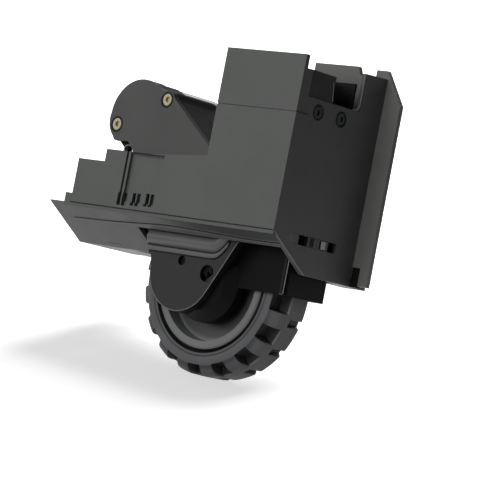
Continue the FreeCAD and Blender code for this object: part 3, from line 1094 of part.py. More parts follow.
def make_latch():
    """The slide latch in the slot of the side wall, with its bright spring leaf."""
    x = float(s.side_x)
    y = -float(s.catch_y)
    z = float(s.catch_z)
    high = float(s.catch_high) / 2.0 - 0.15
    body = Part.makeBox(1.7, 12.0, 2.0 * high, FreeCAD.Vector(x - 1.8, y - 2.6, z - high))
    rail = Part.makeBox(0.6, 13.0, 2.0 * high + 1.6, FreeCAD.Vector(x - 2.7, y - 3.1, z - high - 0.8))
    web = Part.makeBox(0.6, 11.0, 2.0 * high - 0.6, FreeCAD.Vector(x - 2.2, y - 2.1, z - high + 0.3))
    nose = rod(x - 1.4, y + 0.4, z - high + 0.2, 2.2, 2.0 * high - 0.4, (0, 0, 1))
    nose = nose.common(Part.makeBox(4.0, 6.0, 8.0, FreeCAD.Vector(x - 1.8, y - 3.0, z - 4.0)))
    seat = Part.makeBox(0.5, 2.8, 2.0 * high - 0.4, FreeCAD.Vector(x - 0.5, y + 4.8, z - high + 0.2))
    make_group("side_latch", [body.fuse([rail, web, nose]).cut(seat).removeSplitter()])
    leaf = Part.makeBox(0.8, 2.6, 2.0 * high - 0.6, FreeCAD.Vector(x - 0.5, y + 4.9, z - high + 0.3))
    make_group("latch_leaf", [leaf])


make_housing()
make_tower()
make_connector()
make_gear_case()
make_fender()
make_motor()
make_gears()
make_wheel()
make_pivot()
make_latch()
doc.recompute()

for piece in PIECES:
    state = list(piece.State)
    if "Invalid" in state or "Error" in state:
        raise RuntimeError("%s failed: %s" % (piece.Label, state))
    if piece.Shape.isNull() or not piece.Shape.isValid():
        raise RuntimeError("%s has no valid shape" % piece.Label)

os.makedirs("parts", exist_ok=True)
for piece in PIECES:
    piece.Shape.exportStep("parts/%s.step" % piece.Label)
for piece in PIECES:
    print(piece.Label, len(piece.Shape.Solids), round(piece.Shape.Volume, 1))
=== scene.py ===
import bpy
import bmesh
import math
from mathutils import Matrix, Vector


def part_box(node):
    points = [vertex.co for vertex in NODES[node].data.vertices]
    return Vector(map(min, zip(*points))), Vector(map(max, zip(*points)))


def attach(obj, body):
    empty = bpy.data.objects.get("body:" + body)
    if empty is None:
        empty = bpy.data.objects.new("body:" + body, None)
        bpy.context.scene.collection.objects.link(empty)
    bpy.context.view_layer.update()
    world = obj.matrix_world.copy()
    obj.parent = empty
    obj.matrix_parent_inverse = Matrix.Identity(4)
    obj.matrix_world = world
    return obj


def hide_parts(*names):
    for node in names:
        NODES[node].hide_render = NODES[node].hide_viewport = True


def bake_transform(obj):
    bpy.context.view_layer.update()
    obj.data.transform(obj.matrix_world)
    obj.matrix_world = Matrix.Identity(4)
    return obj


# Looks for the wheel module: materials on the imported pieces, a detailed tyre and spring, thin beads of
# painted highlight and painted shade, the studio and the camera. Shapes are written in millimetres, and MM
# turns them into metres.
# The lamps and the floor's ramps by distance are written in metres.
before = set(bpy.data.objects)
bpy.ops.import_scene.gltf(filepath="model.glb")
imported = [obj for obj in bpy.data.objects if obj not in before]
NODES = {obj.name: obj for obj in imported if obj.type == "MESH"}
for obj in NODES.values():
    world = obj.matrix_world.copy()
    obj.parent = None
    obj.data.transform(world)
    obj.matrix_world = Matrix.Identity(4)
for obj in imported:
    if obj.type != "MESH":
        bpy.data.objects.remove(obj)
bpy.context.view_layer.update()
MM = 0.001
# The wheel's axis, which runs along Y.
WHEEL_X = 12.0
WHEEL_Z = -7.7
# The outer faces of the front wall and the side wall.
FRONT_Y = -56.0
SIDE_X = 56.0
# Most values of a noise texture lie in this range.
NOISE_RANGE = (0.3, 0.7)


def new_material(name):
    """An empty node material with its output."""
    material = bpy.data.materials.new(name)
    material.use_nodes = True
    tree = material.node_tree
    tree.nodes.clear()
    output = tree.nodes.new("ShaderNodeOutputMaterial")
    return material, tree, output


def noise(tree, coords, scale, detail, roughness):
    """A noise texture whose scale is in features per metre."""
    node = tree.nodes.new("ShaderNodeTexNoise")
    node.inputs["Scale"].default_value = scale
    node.inputs["Detail"].default_value = detail
    node.inputs["Roughness"].default_value = roughness
    tree.links.new(coords, node.inputs["Vector"])
    return node.outputs["Fac"]


def ramp(tree, factor, low, high, at_low, at_high):
    """Maps a factor between two stops to values between at_low and at_high."""
    node = tree.nodes.new("ShaderNodeMapRange")
    node.inputs["From Min"].default_value = low
    node.inputs["From Max"].default_value = high
    node.inputs["To Min"].default_value = at_low
    node.inputs["To Max"].default_value = at_high
    tree.links.new(factor, node.inputs["Value"])
    return node.outputs["Result"]


def maths(tree, kind, first, second):
    """A math node over two values, each a socket or a number."""
    node = tree.nodes.new("ShaderNodeMath")
    node.operation = kind
    for index, value in enumerate((first, second)):
        if isinstance(value, (int, float)):
            node.inputs[index].default_value = value
        else:
            tree.links.new(value, node.inputs[index])
    return node.outputs[0]


def shade(tree, colour, amount):
    """A colour multiplied by a grey amount that varies over the surface."""
    node = tree.nodes.new("ShaderNodeMix")
    node.data_type = "RGBA"
    node.blend_type = "MULTIPLY"
    node.inputs["Factor"].default_value = 1.0
    # Inputs 6 and 7 of a Mix node are its two colours, and output 2 is the mixed one.
    node.inputs[6].default_value = (*colour, 1.0)
    tree.links.new(amount, node.inputs[7])
    return node.outputs[2]


def bump(tree, height, strength, distance):
    """A bump node over a height."""
    node = tree.nodes.new("ShaderNodeBump")
    node.inputs["Strength"].default_value = strength
    node.inputs["Distance"].default_value = distance
    tree.links.new(height, node.inputs["Height"])
    return node.outputs["Normal"]


def coordinate(tree, places, axis):
    """One coordinate of a point on the piece, in metres."""
    parts = tree.nodes.new("ShaderNodeSeparateXYZ")
    tree.links.new(places.outputs["Object"], parts.inputs[0])
    return parts.outputs[axis]


def along(tree, vector, direction):
    """How far a vector points along a direction."""
    node = tree.nodes.new("ShaderNodeVectorMath")
    node.operation = "DOT_PRODUCT"
    node.inputs[1].default_value = direction
    tree.links.new(vector, node.inputs[0])
    return node.outputs["Value"]


def wheel_radius(tree, places):
    """The distance from the wheel's axis."""
    across = maths(tree, "SUBTRACT", coordinate(tree, places, "X"), WHEEL_X * MM)
    up = maths(tree, "SUBTRACT", coordinate(tree, places, "Z"), WHEEL_Z * MM)
    square = maths(tree, "ADD", maths(tree, "MULTIPLY", across, across), maths(tree, "MULTIPLY", up, up))
    return maths(tree, "SQRT", square, 0.0)


def tread_painted_shading(tree, places):
    """Painted light and shade on the tyre: light painted on the tread blocks, shade painted low in the
    tread, on the side wall and in a dark groove at the rim.
    """
    radius = wheel_radius(tree, places)
    wall_edge = (-35.65 * MM, -35.5 * MM)
    tread_height = (33.0 * MM, 35.9 * MM)
    groove_edge = (27.4 * MM, 27.7 * MM)
    wall = ramp(tree, coordinate(tree, places, "Y"), *wall_edge, at_low=0.80, at_high=0.0)
    tread = ramp(tree, radius, *tread_height, at_low=0.4, at_high=1.3)
    groove = ramp(tree, radius, *groove_edge, at_low=0.05, at_high=1.0)
    return maths(tree, "MULTIPLY", maths(tree, "MAXIMUM", tread, wall), groove)


def rim_painted_shading(tree, places):
    """Painted light on the rim's flange, and painted shade in the dish inside it and darker still at the
    hub.
    """
    radius = wheel_radius(tree, places)
    hub_edge = (12.0 * MM, 14.0 * MM)
    dish_edge = (20.5 * MM, 22.4 * MM)
    hub = ramp(tree, radius, *hub_edge, at_low=0.08, at_high=1.0)
    dish = ramp(tree, radius, *dish_edge, at_low=0.48, at_high=1.5)
    return maths(tree, "MULTIPLY", hub, dish)


def can_painted_shade(tree, places):
    """Painted shade and dark reflection on the motor can: nearly black below its crown, which stays bright.
    """
    wrap_edge = (61.9 * MM, 62.1 * MM)
    return ramp(tree, coordinate(tree, places, "Z"), *wrap_edge, at_low=0.03, at_high=1.0)


def cover_painted_shade(tree, places):
    """Painted shade on the gear cover: darker low down, and on the slanted side that faces the tower."""
    fade = (10.0 * MM, 25.0 * MM)
    height = ramp(tree, coordinate(tree, places, "Z"), *fade, at_low=0.13, at_high=1.0)
    slanted = along(tree, places.outputs["Normal"], (0.62, 0.0, 0.78))
    slant = ramp(tree, slanted, 0.30, 0.80, at_low=1.0, at_high=0.04)
    return maths(tree, "MULTIPLY", height, slant)


def band_painted_light(tree, places):
    """Painted light on the band along the flange: lighter towards its left end, where it is as light as the
    flange.
    """
    fade = (-25.0 * MM, 25.0 * MM)
    return ramp(tree, coordinate(tree, places, "X"), *fade, at_low=3.2, at_high=1.0)


def underside_painted_shade(tree, places):
    """Painted shade on the housing: faces that look straight down are darker."""
    facing_down = along(tree, places.outputs["Normal"], (0.0, 0.0, -1.0))
    return ramp(tree, facing_down, 0.90, 0.97, at_low=1.0, at_high=0.15)


def plastic(name, colour, roughness, grain=2600.0, depth=0.03, mottle=0.08, specular=0.5, tone=None):
    """Moulded plastic or rubber: a fine spark-eroded grain, slow colour mottle and handling sheen."""
    material, tree, output = new_material(name)
    shader = tree.nodes.new("ShaderNodeBsdfPrincipled")
    places = tree.nodes.new("ShaderNodeTexCoord")
    coords = places.outputs["Object"]
    slow = noise(tree, coords, scale=45.0, detail=4.0, roughness=0.6)
    fine = noise(tree, coords, scale=grain, detail=2.0, roughness=0.6)
    smear = noise(tree, coords, scale=110.0, detail=5.0, roughness=0.65)
    tint = ramp(tree, slow, *NOISE_RANGE, at_low=1.0 - mottle, at_high=1.0 + mottle)
    if tone:
        tint = maths(tree, "MULTIPLY", tint, tone(tree, places))
    tree.links.new(shade(tree, colour, tint), shader.inputs["Base Color"])
    rough = ramp(tree, smear, *NOISE_RANGE, at_low=roughness - 0.05, at_high=roughness + 0.06)
    tree.links.new(rough, shader.inputs["Roughness"])
    tree.links.new(bump(tree, fine, strength=0.35, distance=depth * MM), shader.inputs["Normal"])
    shader.inputs["Specular IOR Level"].default_value = specular
    tree.links.new(shader.outputs["BSDF"], output.inputs["Surface"])
    return material


def metal(name, colour, roughness, stretch=(1.0, 12.0, 1.0), tone=None):
    """Machined or drawn metal: fine lines stretched one way, with stains in its colour."""
    material, tree, output = new_material(name)
    shader = tree.nodes.new("ShaderNodeBsdfPrincipled")
    places = tree.nodes.new("ShaderNodeTexCoord")
    coords = places.outputs["Object"]
    mapping = tree.nodes.new("ShaderNodeMapping")
    mapping.inputs["Scale"].default_value = stretch
    tree.links.new(coords, mapping.inputs["Vector"])
    lines = noise(tree, mapping.outputs["Vector"], scale=900.0, detail=3.0, roughness=0.6)
    stain = noise(tree, coords, scale=160.0, detail=4.0, roughness=0.6)
    tint = ramp(tree, stain, *NOISE_RANGE, at_low=0.88, at_high=1.06)
    if tone:
        tint = maths(tree, "MULTIPLY", tint, tone(tree, places))
    tree.links.new(shade(tree, colour, tint), shader.inputs["Base Color"])
    rough = ramp(tree, lines, *NOISE_RANGE, at_low=roughness - 0.06, at_high=roughness + 0.08)
    tree.links.new(rough, shader.inputs["Roughness"])
    tree.links.new(bump(tree, lines, strength=0.25, distance=0.02 * MM), shader.inputs["Normal"])
    shader.inputs["Metallic"].default_value = 1.0
    tree.links.new(shader.outputs["BSDF"], output.inputs["Surface"])
    return material


HOUSING = plastic("housing_abs", (0.066, 0.070, 0.066), 0.42, specular=0.36, tone=underside_painted_shade)
BAND = plastic("flange_band_abs", (0.022, 0.023, 0.022), 0.40, specular=0.32, tone=band_painted_light)
CHEEK = plastic("socket_nylon", (0.018, 0.018, 0.017), 0.40, specular=0.32)
PLATE = plastic("plate_abs", (0.115, 0.117, 0.112), 0.42, specular=0.35)
# Near black: the inner case's black plastic with painted shade behind the lobe and round the drum.
CASE = plastic("case_nylon", (0.006, 0.006, 0.006), 0.42, specular=0.06)
COVER = plastic("cover_nylon", (0.049, 0.049, 0.048), 0.40, specular=0.30, tone=cover_painted_shade)
ROLL = plastic("roll_nylon", (0.080, 0.080, 0.080), 0.34, specular=0.5)
# Near black: the fender's black plastic with painted shade from the housing above it.
FENDER = plastic("fender_abs", (0.004, 0.004, 0.004), 0.34, specular=0.06)
RIM = plastic("rim_nylon", (0.090, 0.091, 0.092), 0.36, specular=0.35, tone=rim_painted_shading)
GEAR = plastic("gear_acetal", (0.007, 0.007, 0.008), 0.46, grain=1500.0, depth=0.015, specular=0.08)
RUBBER = plastic("tyre_rubber", (0.116, 0.117, 0.122), 0.60, grain=1800.0, depth=0.06, mottle=0.14,
                 specular=0.20, tone=tread_painted_shading)
# Near-black rubber for the tyre's pockets: painted shade in the wells.
POCKET = plastic("pocket_painted_shade", (0.016, 0.016, 0.017), 0.55, grain=1800.0, depth=0.05, mottle=0.2,
                 specular=0.2)
# Near black: the black parts and dark joints, and the beads and rings that paint shade in grooves and screw
# wells.
DARK = plastic("black_parts_and_painted_shade", (0.005, 0.005, 0.005), 0.40, specular=0.15)
# Light grey beads that paint highlights along rounded edges.
EDGE = plastic("painted_edge_highlight", (0.16, 0.16, 0.155), 0.34, specular=0.3)
LATCH = plastic("latch_acetal", (0.016, 0.016, 0.017), 0.22, specular=0.5)
BOARD = plastic("encoder_mask", (0.02, 0.10, 0.04), 0.30)
MAGNET = plastic("ferrite", (0.05, 0.05, 0.055), 0.50)
SCREW_BRASS = metal("screw_yellow", (0.42, 0.37, 0.24), 0.30)
SCREW_BLACK = metal("screw_black", (0.055, 0.065, 0.065), 0.16)
# Nearly black steel: painted shade on the pins and axle deep in the gear case.
PIN = metal("steel_with_painted_shade", (0.010, 0.010, 0.009), 0.34)
NICKEL = metal("motor_nickel", (0.62, 0.62, 0.62), 0.18, stretch=(1.0, 20.0, 1.0), tone=can_painted_shade)
STEEL = metal("ground_steel", (0.32, 0.33, 0.34), 0.28)
LEAF = metal("leaf_steel", (0.24, 0.24, 0.24), 0.26)
BRASS = metal("machined_brass", (0.50, 0.39, 0.19), 0.30)

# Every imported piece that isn't in this table is of ground steel.
FINISH = {
    "wheel_housing": HOUSING, "tower_cap": HOUSING, "rear_plate": PLATE,
    "gear_case_outer": COVER, "gear_case_inner": CASE, "wheel_fender": FENDER, "wheel_rim": RIM,
    "tyre": RUBBER, "gear_1": GEAR, "gear_2": GEAR, "gear_3": GEAR, "gear_4": GEAR, "drive_gear": GEAR,
    "switch_lever": GEAR, "case_screws": SCREW_BRASS, "tower_screws": SCREW_BLACK,
    "rear_plate_screws": SCREW_BLACK, "switch_screws": SCREW_BLACK, "fender_screws": SCREW_BLACK,
    "motor_can": NICKEL, "motor_end_cap": DARK, "drop_switch": DARK, "connector_block": DARK,
    "encoder_board": BOARD, "encoder_magnet": MAGNET, "side_latch": LATCH, "latch_leaf": LEAF,
    "gear_pin_1": PIN, "gear_pin_2": PIN, "gear_pin_3": PIN, "gear_pin_4": PIN, "drive_axle": PIN,
    "axle_bearing": PIN, "axle_clip": PIN,
    "motor_pinion": BRASS, "pivot_bushes": BRASS, "axle_bush": BRASS, "motor_terminals": BRASS,
    "connector_pins": BRASS,
}
for name, node in NODES.items():
    for slot in node.material_slots:
        slot.material = FINISH.get(name, STEEL)


def soften(name, width):
    """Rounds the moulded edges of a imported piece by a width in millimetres."""
    node = NODES[name]
    flat = node.modifiers.new("flat", "DECIMATE")
    flat.decimate_type = "DISSOLVE"
    flat.angle_limit = math.radians(0.6)
    edge = node.modifiers.new("edge", "BEVEL")
    edge.width = width * MM
    edge.segments = 2
    edge.limit_method = "ANGLE"
    edge.angle_limit = math.radians(32.0)
    edge.use_clamp_overlap = True
    edge.harden_normals = False
    smooth = node.modifiers.new("normals", "WEIGHTED_NORMAL")
    smooth.keep_sharp = True


for name, width in (("wheel_housing", 0.22), ("tower_cap", 0.25), ("rear_plate", 0.2),
                    ("gear_case_outer", 0.15), ("gear_case_inner", 0.2), ("wheel_fender", 0.45)):
    soften(name, width)


def link(thing):
    """Puts an object into the scene."""
    bpy.context.scene.collection.objects.link(thing)
    return thing


def new_piece(name, build, material, smooth=True):
    """An object from a finished bmesh, with its material."""
    mesh = bpy.data.meshes.new(name)
    bmesh.ops.recalc_face_normals(build, faces=build.faces)
    build.to_mesh(mesh)
    build.free()
    for face in mesh.polygons:
        face.use_smooth = smooth
    piece = link(bpy.data.objects.new(name, mesh))
    mesh.materials.append(material)
    return piece


def join_rings(build, ring, following, closed=True):
    """The strip of faces between two rings, or between two rows where it isn't closed."""
    faces = []
    for index in range(len(ring) if closed else len(ring) - 1):
        after = (index + 1) % len(ring)
        faces.append(build.faces.new((ring[index], ring[after], following[after], following[index])))
    return faces


def subdivide(piece, levels):
    """Smooths a piece, with one level in the viewport and its own number in the render."""
    smooth = piece.modifiers.new("smooth", "SUBSURF")
    smooth.levels = 1
    smooth.render_levels = levels


TREAD_BLOCKS = 17
# Degrees that bring the first pocket to where the photograph shows one.
TREAD_TURN = -6.6
TREAD_RADIUS = 36.0
# Radii where the pockets begin at the front, and of their floors in the front and back rows.
SHOULDER_RADIUS = 32.4
POCKET_FLOOR = 31.3
NOTCH_FLOOR = 33.6


def tyre_section():
    """Radius, y, and how far each point belongs to the front and back rows of tread pockets."""
    front_side = [(26.05, -33.4), (26.05, -34.2), (26.9, -34.4), (27.3, -35.5), (27.7, -35.85),
                  (28.3, -35.9), (28.55, -35.45), (28.8, -35.45), (29.1, -35.9), (29.9, -36.0),
                  (30.8, -35.98), (31.3, -35.9), (31.9, -35.75), (32.3, -35.6), (32.5, -35.45),
                  (33.1, -35.3), (33.8, -34.9), (34.5, -34.4), (35.0, -33.8), (35.4, -33.1),
                  (35.75, -32.2), (35.95, -31.3)]
    front_row = [(TREAD_RADIUS, y) for y in (-28.9, -28.6)]
    middle = [(TREAD_RADIUS, y) for y in (-28.3, -28.0, -27.3, -26.5, -26.2)]
    back_row = [(TREAD_RADIUS, y) for y in (-25.9, -25.6, -23.0, -20.6, -19.9)]
    back_row += [(35.75, -19.0), (35.2, -18.45), (34.3, -18.1)]
    back_side = [(33.4, -18.0), (31.0, -18.0), (28.0, -18.0), (26.05, -18.05), (26.05, -19.0)]
    points = [(radius, y, 1.0 if radius > SHOULDER_RADIUS else 0.0, 0.0) for radius, y in front_side]
    for places, front, back in ((front_row, 1.0, 0.0), (middle, 0.0, 0.0), (back_row, 0.0, 1.0),
                                (back_side, 0.0, 0.0)):
        points += [(radius, y, front, back) for radius, y in places]
    return points


def tyre_angles():
    """Angles in degrees within one pitch, and how far each belongs to the front and back rows."""
    pitch = 360.0 / TREAD_BLOCKS
    half_pocket, half_notch, at_radius = 3.3, 1.5, 35.0
    front = math.degrees(half_pocket / at_radius)
    back = math.degrees(half_notch / at_radius)
    middle = pitch / 2.0
    margin, wall, corner = 0.5, 0.35, 0.8
    stops = []
    for low, high, first, second in ((-front, front, 1.0, 0.0), (middle - back, middle + back, 0.0, 1.0)):
        inside = (low + wall, low + corner, (low + high) / 2.0, high - corner, high - wall)
        stops += [(low - margin, 0.0, 0.0), (low, 0.0, 0.0)]
        stops += [(angle, first, second) for angle in inside]
        stops += [(high, 0.0, 0.0), (high + margin, 0.0, 0.0)]
    return pitch, stops


def make_tyre():
    """The moulded tyre: a convex wall with a bead line, a round shoulder and two rows of pockets, whose
    faces take a near-black rubber as painted shade.
    """
    section = tyre_section()
    pitch, stops = tyre_angles()
    build = bmesh.new()
    rings = []
    for step in range(TREAD_BLOCKS):
        for offset, first, second in stops:
            angle = math.radians(pitch * step + offset + TREAD_TURN)
            ring = []
            for radius, y, front, back in section:
                deep = radius - max(radius - POCKET_FLOOR, 0.0) * first * front
                deep -= max(radius - NOTCH_FLOOR, 0.0) * second * back
                place = (WHEEL_X + deep * math.cos(angle), y, WHEEL_Z + deep * math.sin(angle))
                ring.append(build.verts.new(Vector(place) * MM))
            rings.append((ring, (first, second)))
    for (ring, here), (following, there) in zip(rings, rings[1:] + rings[:1]):
        for index, face in enumerate(join_rings(build, ring, following)):
            after = (index + 1) % len(section)
            hollow = [max(a, b) * max(section[index][row], section[after][row])
                      for a, b, row in zip(here, there, (2, 3))]
            # Faces in the pockets take the second material, near-black rubber that paints the shade in the
            # wells.
            face.material_index = 1 if max(hollow) > 0.0 else 0
    piece = new_piece("tyre_moulded", build, RUBBER)
    piece.data.materials.append(POCKET)
    subdivide(piece, 1)
    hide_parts("tyre")
    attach(piece, "wheel")


SPRING_STEPS = 20


def spring_eye(x, y, height, radius, start):
    """A spring's eye: 280 degrees of a circle that faces the front, from a start in degrees."""
    points = []
    for step in range(SPRING_STEPS + 1):
        angle = math.radians(start + 280.0 * step / SPRING_STEPS)
        points.append(Vector((x + radius * math.cos(angle), y, height + radius * math.sin(angle))))
    return points


def make_spring():
    """The drop spring as a round wire: two eyes and thirteen turns, from the housing to the arm."""
    x, y, radius, wire = -29.4, -50.7, 2.25, 0.45
    low, high, turns = 16.25, 36.85, 13
    neck, sides = 2.3, 10
    # Four points of a short straight leg stand between each eye and the turns.
    path = spring_eye(x, y, low, radius, 65.0)
    path += [Vector((x + radius, y, low + 0.1 + 0.5 * step)) for step in range(4)]
    for step in range(turns * SPRING_STEPS + 1):
        angle = 2.0 * math.pi * step / SPRING_STEPS
        height = low + neck + (high - low - 2.0 * neck) * step / (turns * SPRING_STEPS)
        path.append(Vector((x + radius * math.cos(angle), y + radius * math.sin(angle), height)))
    path += [Vector((x + radius, y, high - 1.6 + 0.5 * step)) for step in range(4)]
    path += spring_eye(x, y, high, radius, 15.0)
    build = bmesh.new()
    rings = []
    side = Vector((0.0, 1.0, 0.0))
    round_wire = [2.0 * math.pi * number / sides for number in range(sides)]
    for index, point in enumerate(path):
        way = (path[min(index + 1, len(path) - 1)] - path[max(index - 1, 0)]).normalized()
        side = (side - way * side.dot(way)).normalized()
        other = way.cross(side)
        places = [point + (side * math.cos(a) + other * math.sin(a)) * wire for a in round_wire]
        rings.append([build.verts.new(place * MM) for place in places])
    for ring, following in zip(rings, rings[1:]):
        join_rings(build, ring, following)
    build.faces.new(rings[0])
    build.faces.new(rings[-1])
    piece = new_piece("spring_wound", build, STEEL)
    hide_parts("drop_spring")
    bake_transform(piece)


def make_line(name, points, radius, material, body):
    """A thin round bead along a smooth line of points, in millimetres."""
    data = bpy.data.curves.new(name, "CURVE")
    data.dimensions = "3D"
    data.bevel_depth = radius * MM
    data.bevel_resolution = 2
    data.use_fill_caps = True
    spline = data.splines.new("NURBS")
    spline.points.add(len(points) - 1)
    for target, point in zip(spline.points, points):
        target.co = (*(Vector(point) * MM), 1.0)
    spline.order_u = min(3, len(points))
    spline.use_endpoint_u = True
    data.resolution_u = 8
    data.materials.append(material)
    piece = link(bpy.data.objects.new(name, data))
    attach(piece, body)


def on_bevel(x, y, proud):
    """A point of the flange's bevelled face, standing a little proud of it."""
    inner_edge, rise, run = 34.4, 13.6, 21.1
    outward_y, outward_z = 0.542, 0.841
    z = (-y - inner_edge) * rise / run
    return (x, y - outward_y * proud, z - outward_z * proud)


def make_flange_lines():
    """The flange's two dark lines of painted shade, the band and a bright crest of painted highlight
    between them, and painted highlights along the side's foot and lower edge.
    """
    # The dark beads paint the shade in the groove at the wall's foot and along the band's lower edge.
    foot = [(x, FRONT_Y, 13.75) for x in (-50.0, -20.0, 0.0, 30.0, 55.7)]
    make_line("flange_line_upper", foot, 0.24, DARK, "housing")
    line = [(-54.0, -47.8), (-36.0, -48.2), (-19.0, -49.3), (-3.0, -50.5), (10.0, -50.3), (25.0, -49.6),
            (44.0, -49.0), (54.5, -49.4)]
    # The band's three rows of points: at its top, halfway down, and at the lower line.
    places = [[(x, -55.7, 13.42) for x, y in line],
              [on_bevel(x, y / 2.0 - 27.7, 0.1) for x, y in line],
              [on_bevel(x, y - 0.1, 0.05) for x, y in line]]
    band = bmesh.new()
    rows = [[band.verts.new(Vector(point) * MM) for point in row] for row in places]
    for first, second in zip(rows, rows[1:]):
        join_rings(band, first, second, closed=False)
    piece = new_piece("flange_band", band, BAND)
    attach(piece, "housing")
    make_line("flange_line_lower", [on_bevel(x, y, -0.02) for x, y in line], 0.3, DARK, "housing")
    # The light beads paint highlights on the side's front chamfer, along its lower edge and on the band's
    # crest.
    side_foot = [(55.9, -55.3, 13.4), (55.9, -45.0, 6.8), (55.9, -34.5, 0.2)]
    make_line("side_foot_edge", side_foot, 0.35, EDGE, "housing")
    hem = [(55.85, -34.2, 0.15), (55.85, -22.0, 0.15), (55.85, -9.0, 0.15)]
    make_line("side_lower_highlight", hem, 0.18, EDGE, "housing")
    make_line("flange_crest_highlight", [on_bevel(x, y + 0.75, -0.05) for x, y in line], 0.16, EDGE, "housing")


def make_lobe_roll():
    """The rolled band across the top of the lobe, whose right end turns up along the lobe's edge."""
    profile = [(8.8, -44.4), (8.2, -45.8), (7.2, -46.7), (6.2, -47.08), (5.2, -47.08), (4.3, -46.7),
               (3.5, -46.0), (2.95, -45.1), (2.6, -44.9), (2.2, -45.0), (1.7, -45.15), (1.1, -45.15),
               (0.6, -44.95), (0.3, -44.45)]
    stops = [(-14.9, 0.0), (-14.6, 0.0), (-8.0, 0.0), (0.0, 0.0), (10.0, 0.0), (16.0, 0.0), (19.2, 0.1),
             (20.5, 0.5), (21.8, 1.3), (23.0, 2.4), (24.2, 3.7), (25.3, 5.2), (26.0, 6.3)]
    build = bmesh.new()
    rings = []
    for x, rise in stops:
        rings.append([build.verts.new(Vector((x, y, z + rise)) * MM) for z, y in profile])
    for ring, following in zip(rings, rings[1:]):
        join_rings(build, ring, following, closed=False)
    build.faces.new(rings[0])
    build.faces.new(rings[-1])
    back = [(ring[0], ring[-1]) for ring in rings]
    for (top, low), (next_top, next_low) in zip(back, back[1:]):
        build.faces.new((top, low, next_low, next_top))
    # Dark beads paint the shade in the roll's valley and under its lower step.
    for name, y, z, radius in (("lobe_valley", -44.95, 2.55, 0.3), ("lobe_step", -44.55, 0.2, 0.2)):
        make_line(name, [(x, y, z + rise) for x, rise in stops], radius, DARK, "arm")
    piece = new_piece("lobe_roll", build, ROLL)
    subdivide(piece, 2)
    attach(piece, "arm")


def make_lobe_highlights():
    """Painted highlights: a thin bright bead round the lobe's face, and bright beads on the edges of the
    fender's corner.
    """
    face_y, centre_x, centre_z, radius = -44.5, 4.0, -5.2, 16.0
    start, arc, steps = -29.5, -150.0, 12
    points = [(29.9, face_y, 8.2), (25.9, face_y, 1.1), (21.9, face_y, -6.0)]
    for step in range(steps + 1):
        angle = math.radians(start + arc * step / steps)
        points.append((centre_x + radius * math.cos(angle), face_y, centre_z + radius * math.sin(angle)))
    make_line("lobe_rim", points, 0.17, EDGE, "arm")
    corner = [(50.6, -37.8, 6.5), (50.6, -37.8, 0.0), (50.6, -37.8, -8.1)]
    make_line("fender_edge", corner, 0.2, EDGE, "arm")
    hem = [(31.0, -37.85, -8.3), (40.0, -37.85, -8.3), (50.4, -37.85, -8.3)]
    make_line("fender_bottom_highlight", hem, 0.1, EDGE, "arm")


def make_shadow_ring(name, centre, inner, outer, thick, body, turn=0.0):
    """A flat dark ring with rounded edges that paints the shadow in a screw's well, facing the front before
    its turn about Z in degrees.
    """
    steps = 40
    section = [(inner, 0.0), (inner, -thick * 0.6), (inner + thick, -thick), (outer - thick, -thick),
               (outer, -thick * 0.5), (outer, 0.0)]
    facing = Matrix.Rotation(math.radians(turn), 3, "Z")
    build = bmesh.new()
    rings = []
    for step in range(steps):
        angle = 2.0 * math.pi * step / steps
        places = [facing @ Vector((r * math.cos(angle), y, r * math.sin(angle))) for r, y in section]
        rings.append([build.verts.new((Vector(centre) + place) * MM) for place in places])
    for ring, following in zip(rings, rings[1:] + rings[:1]):
        join_rings(build, ring, following)
    piece = new_piece(name, build, DARK)
    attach(piece, body)


def make_screw_shadows():
    """Painted shadow: dark rings round the two screws of the gear cover and the two below the side window.
    """
    make_shadow_ring("screw_shadow_upper", (-12.3, -53.0, 58.0), 2.35, 3.2, 0.12, "arm")
    make_shadow_ring("screw_shadow_left", (-36.3, -53.0, 46.5), 2.35, 3.2, 0.12, "arm")
    head_radius = 2.4
    low, high = [[value / MM for value in corner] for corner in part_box("tower_screws")]
    height = (low[2] + high[2]) / 2.0
    for name, y in (("screw_shadow_front", low[1] + head_radius), ("screw_shadow_back", high[1] - head_radius)):
        make_shadow_ring(name, (SIDE_X, y, height), 2.45, 3.1, 0.1, "housing", turn=90.0)


def make_plate(name, low, high, material, edge):
    """A small moulded plate of the housing with rounded edges, between two corners in millimetres."""
    build = bmesh.new()
    bmesh.ops.create_cube(build, size=1.0)
    for vert in build.verts:
        vert.co = Vector([(a + b) / 2.0 + c * (b - a) for a, b, c in zip(low, high, vert.co)]) * MM
    bmesh.ops.bevel(build, geom=list(build.edges), offset=edge * MM, segments=2, affect="EDGES")
    piece = new_piece(name, build, material, smooth=False)
    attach(piece, "housing")


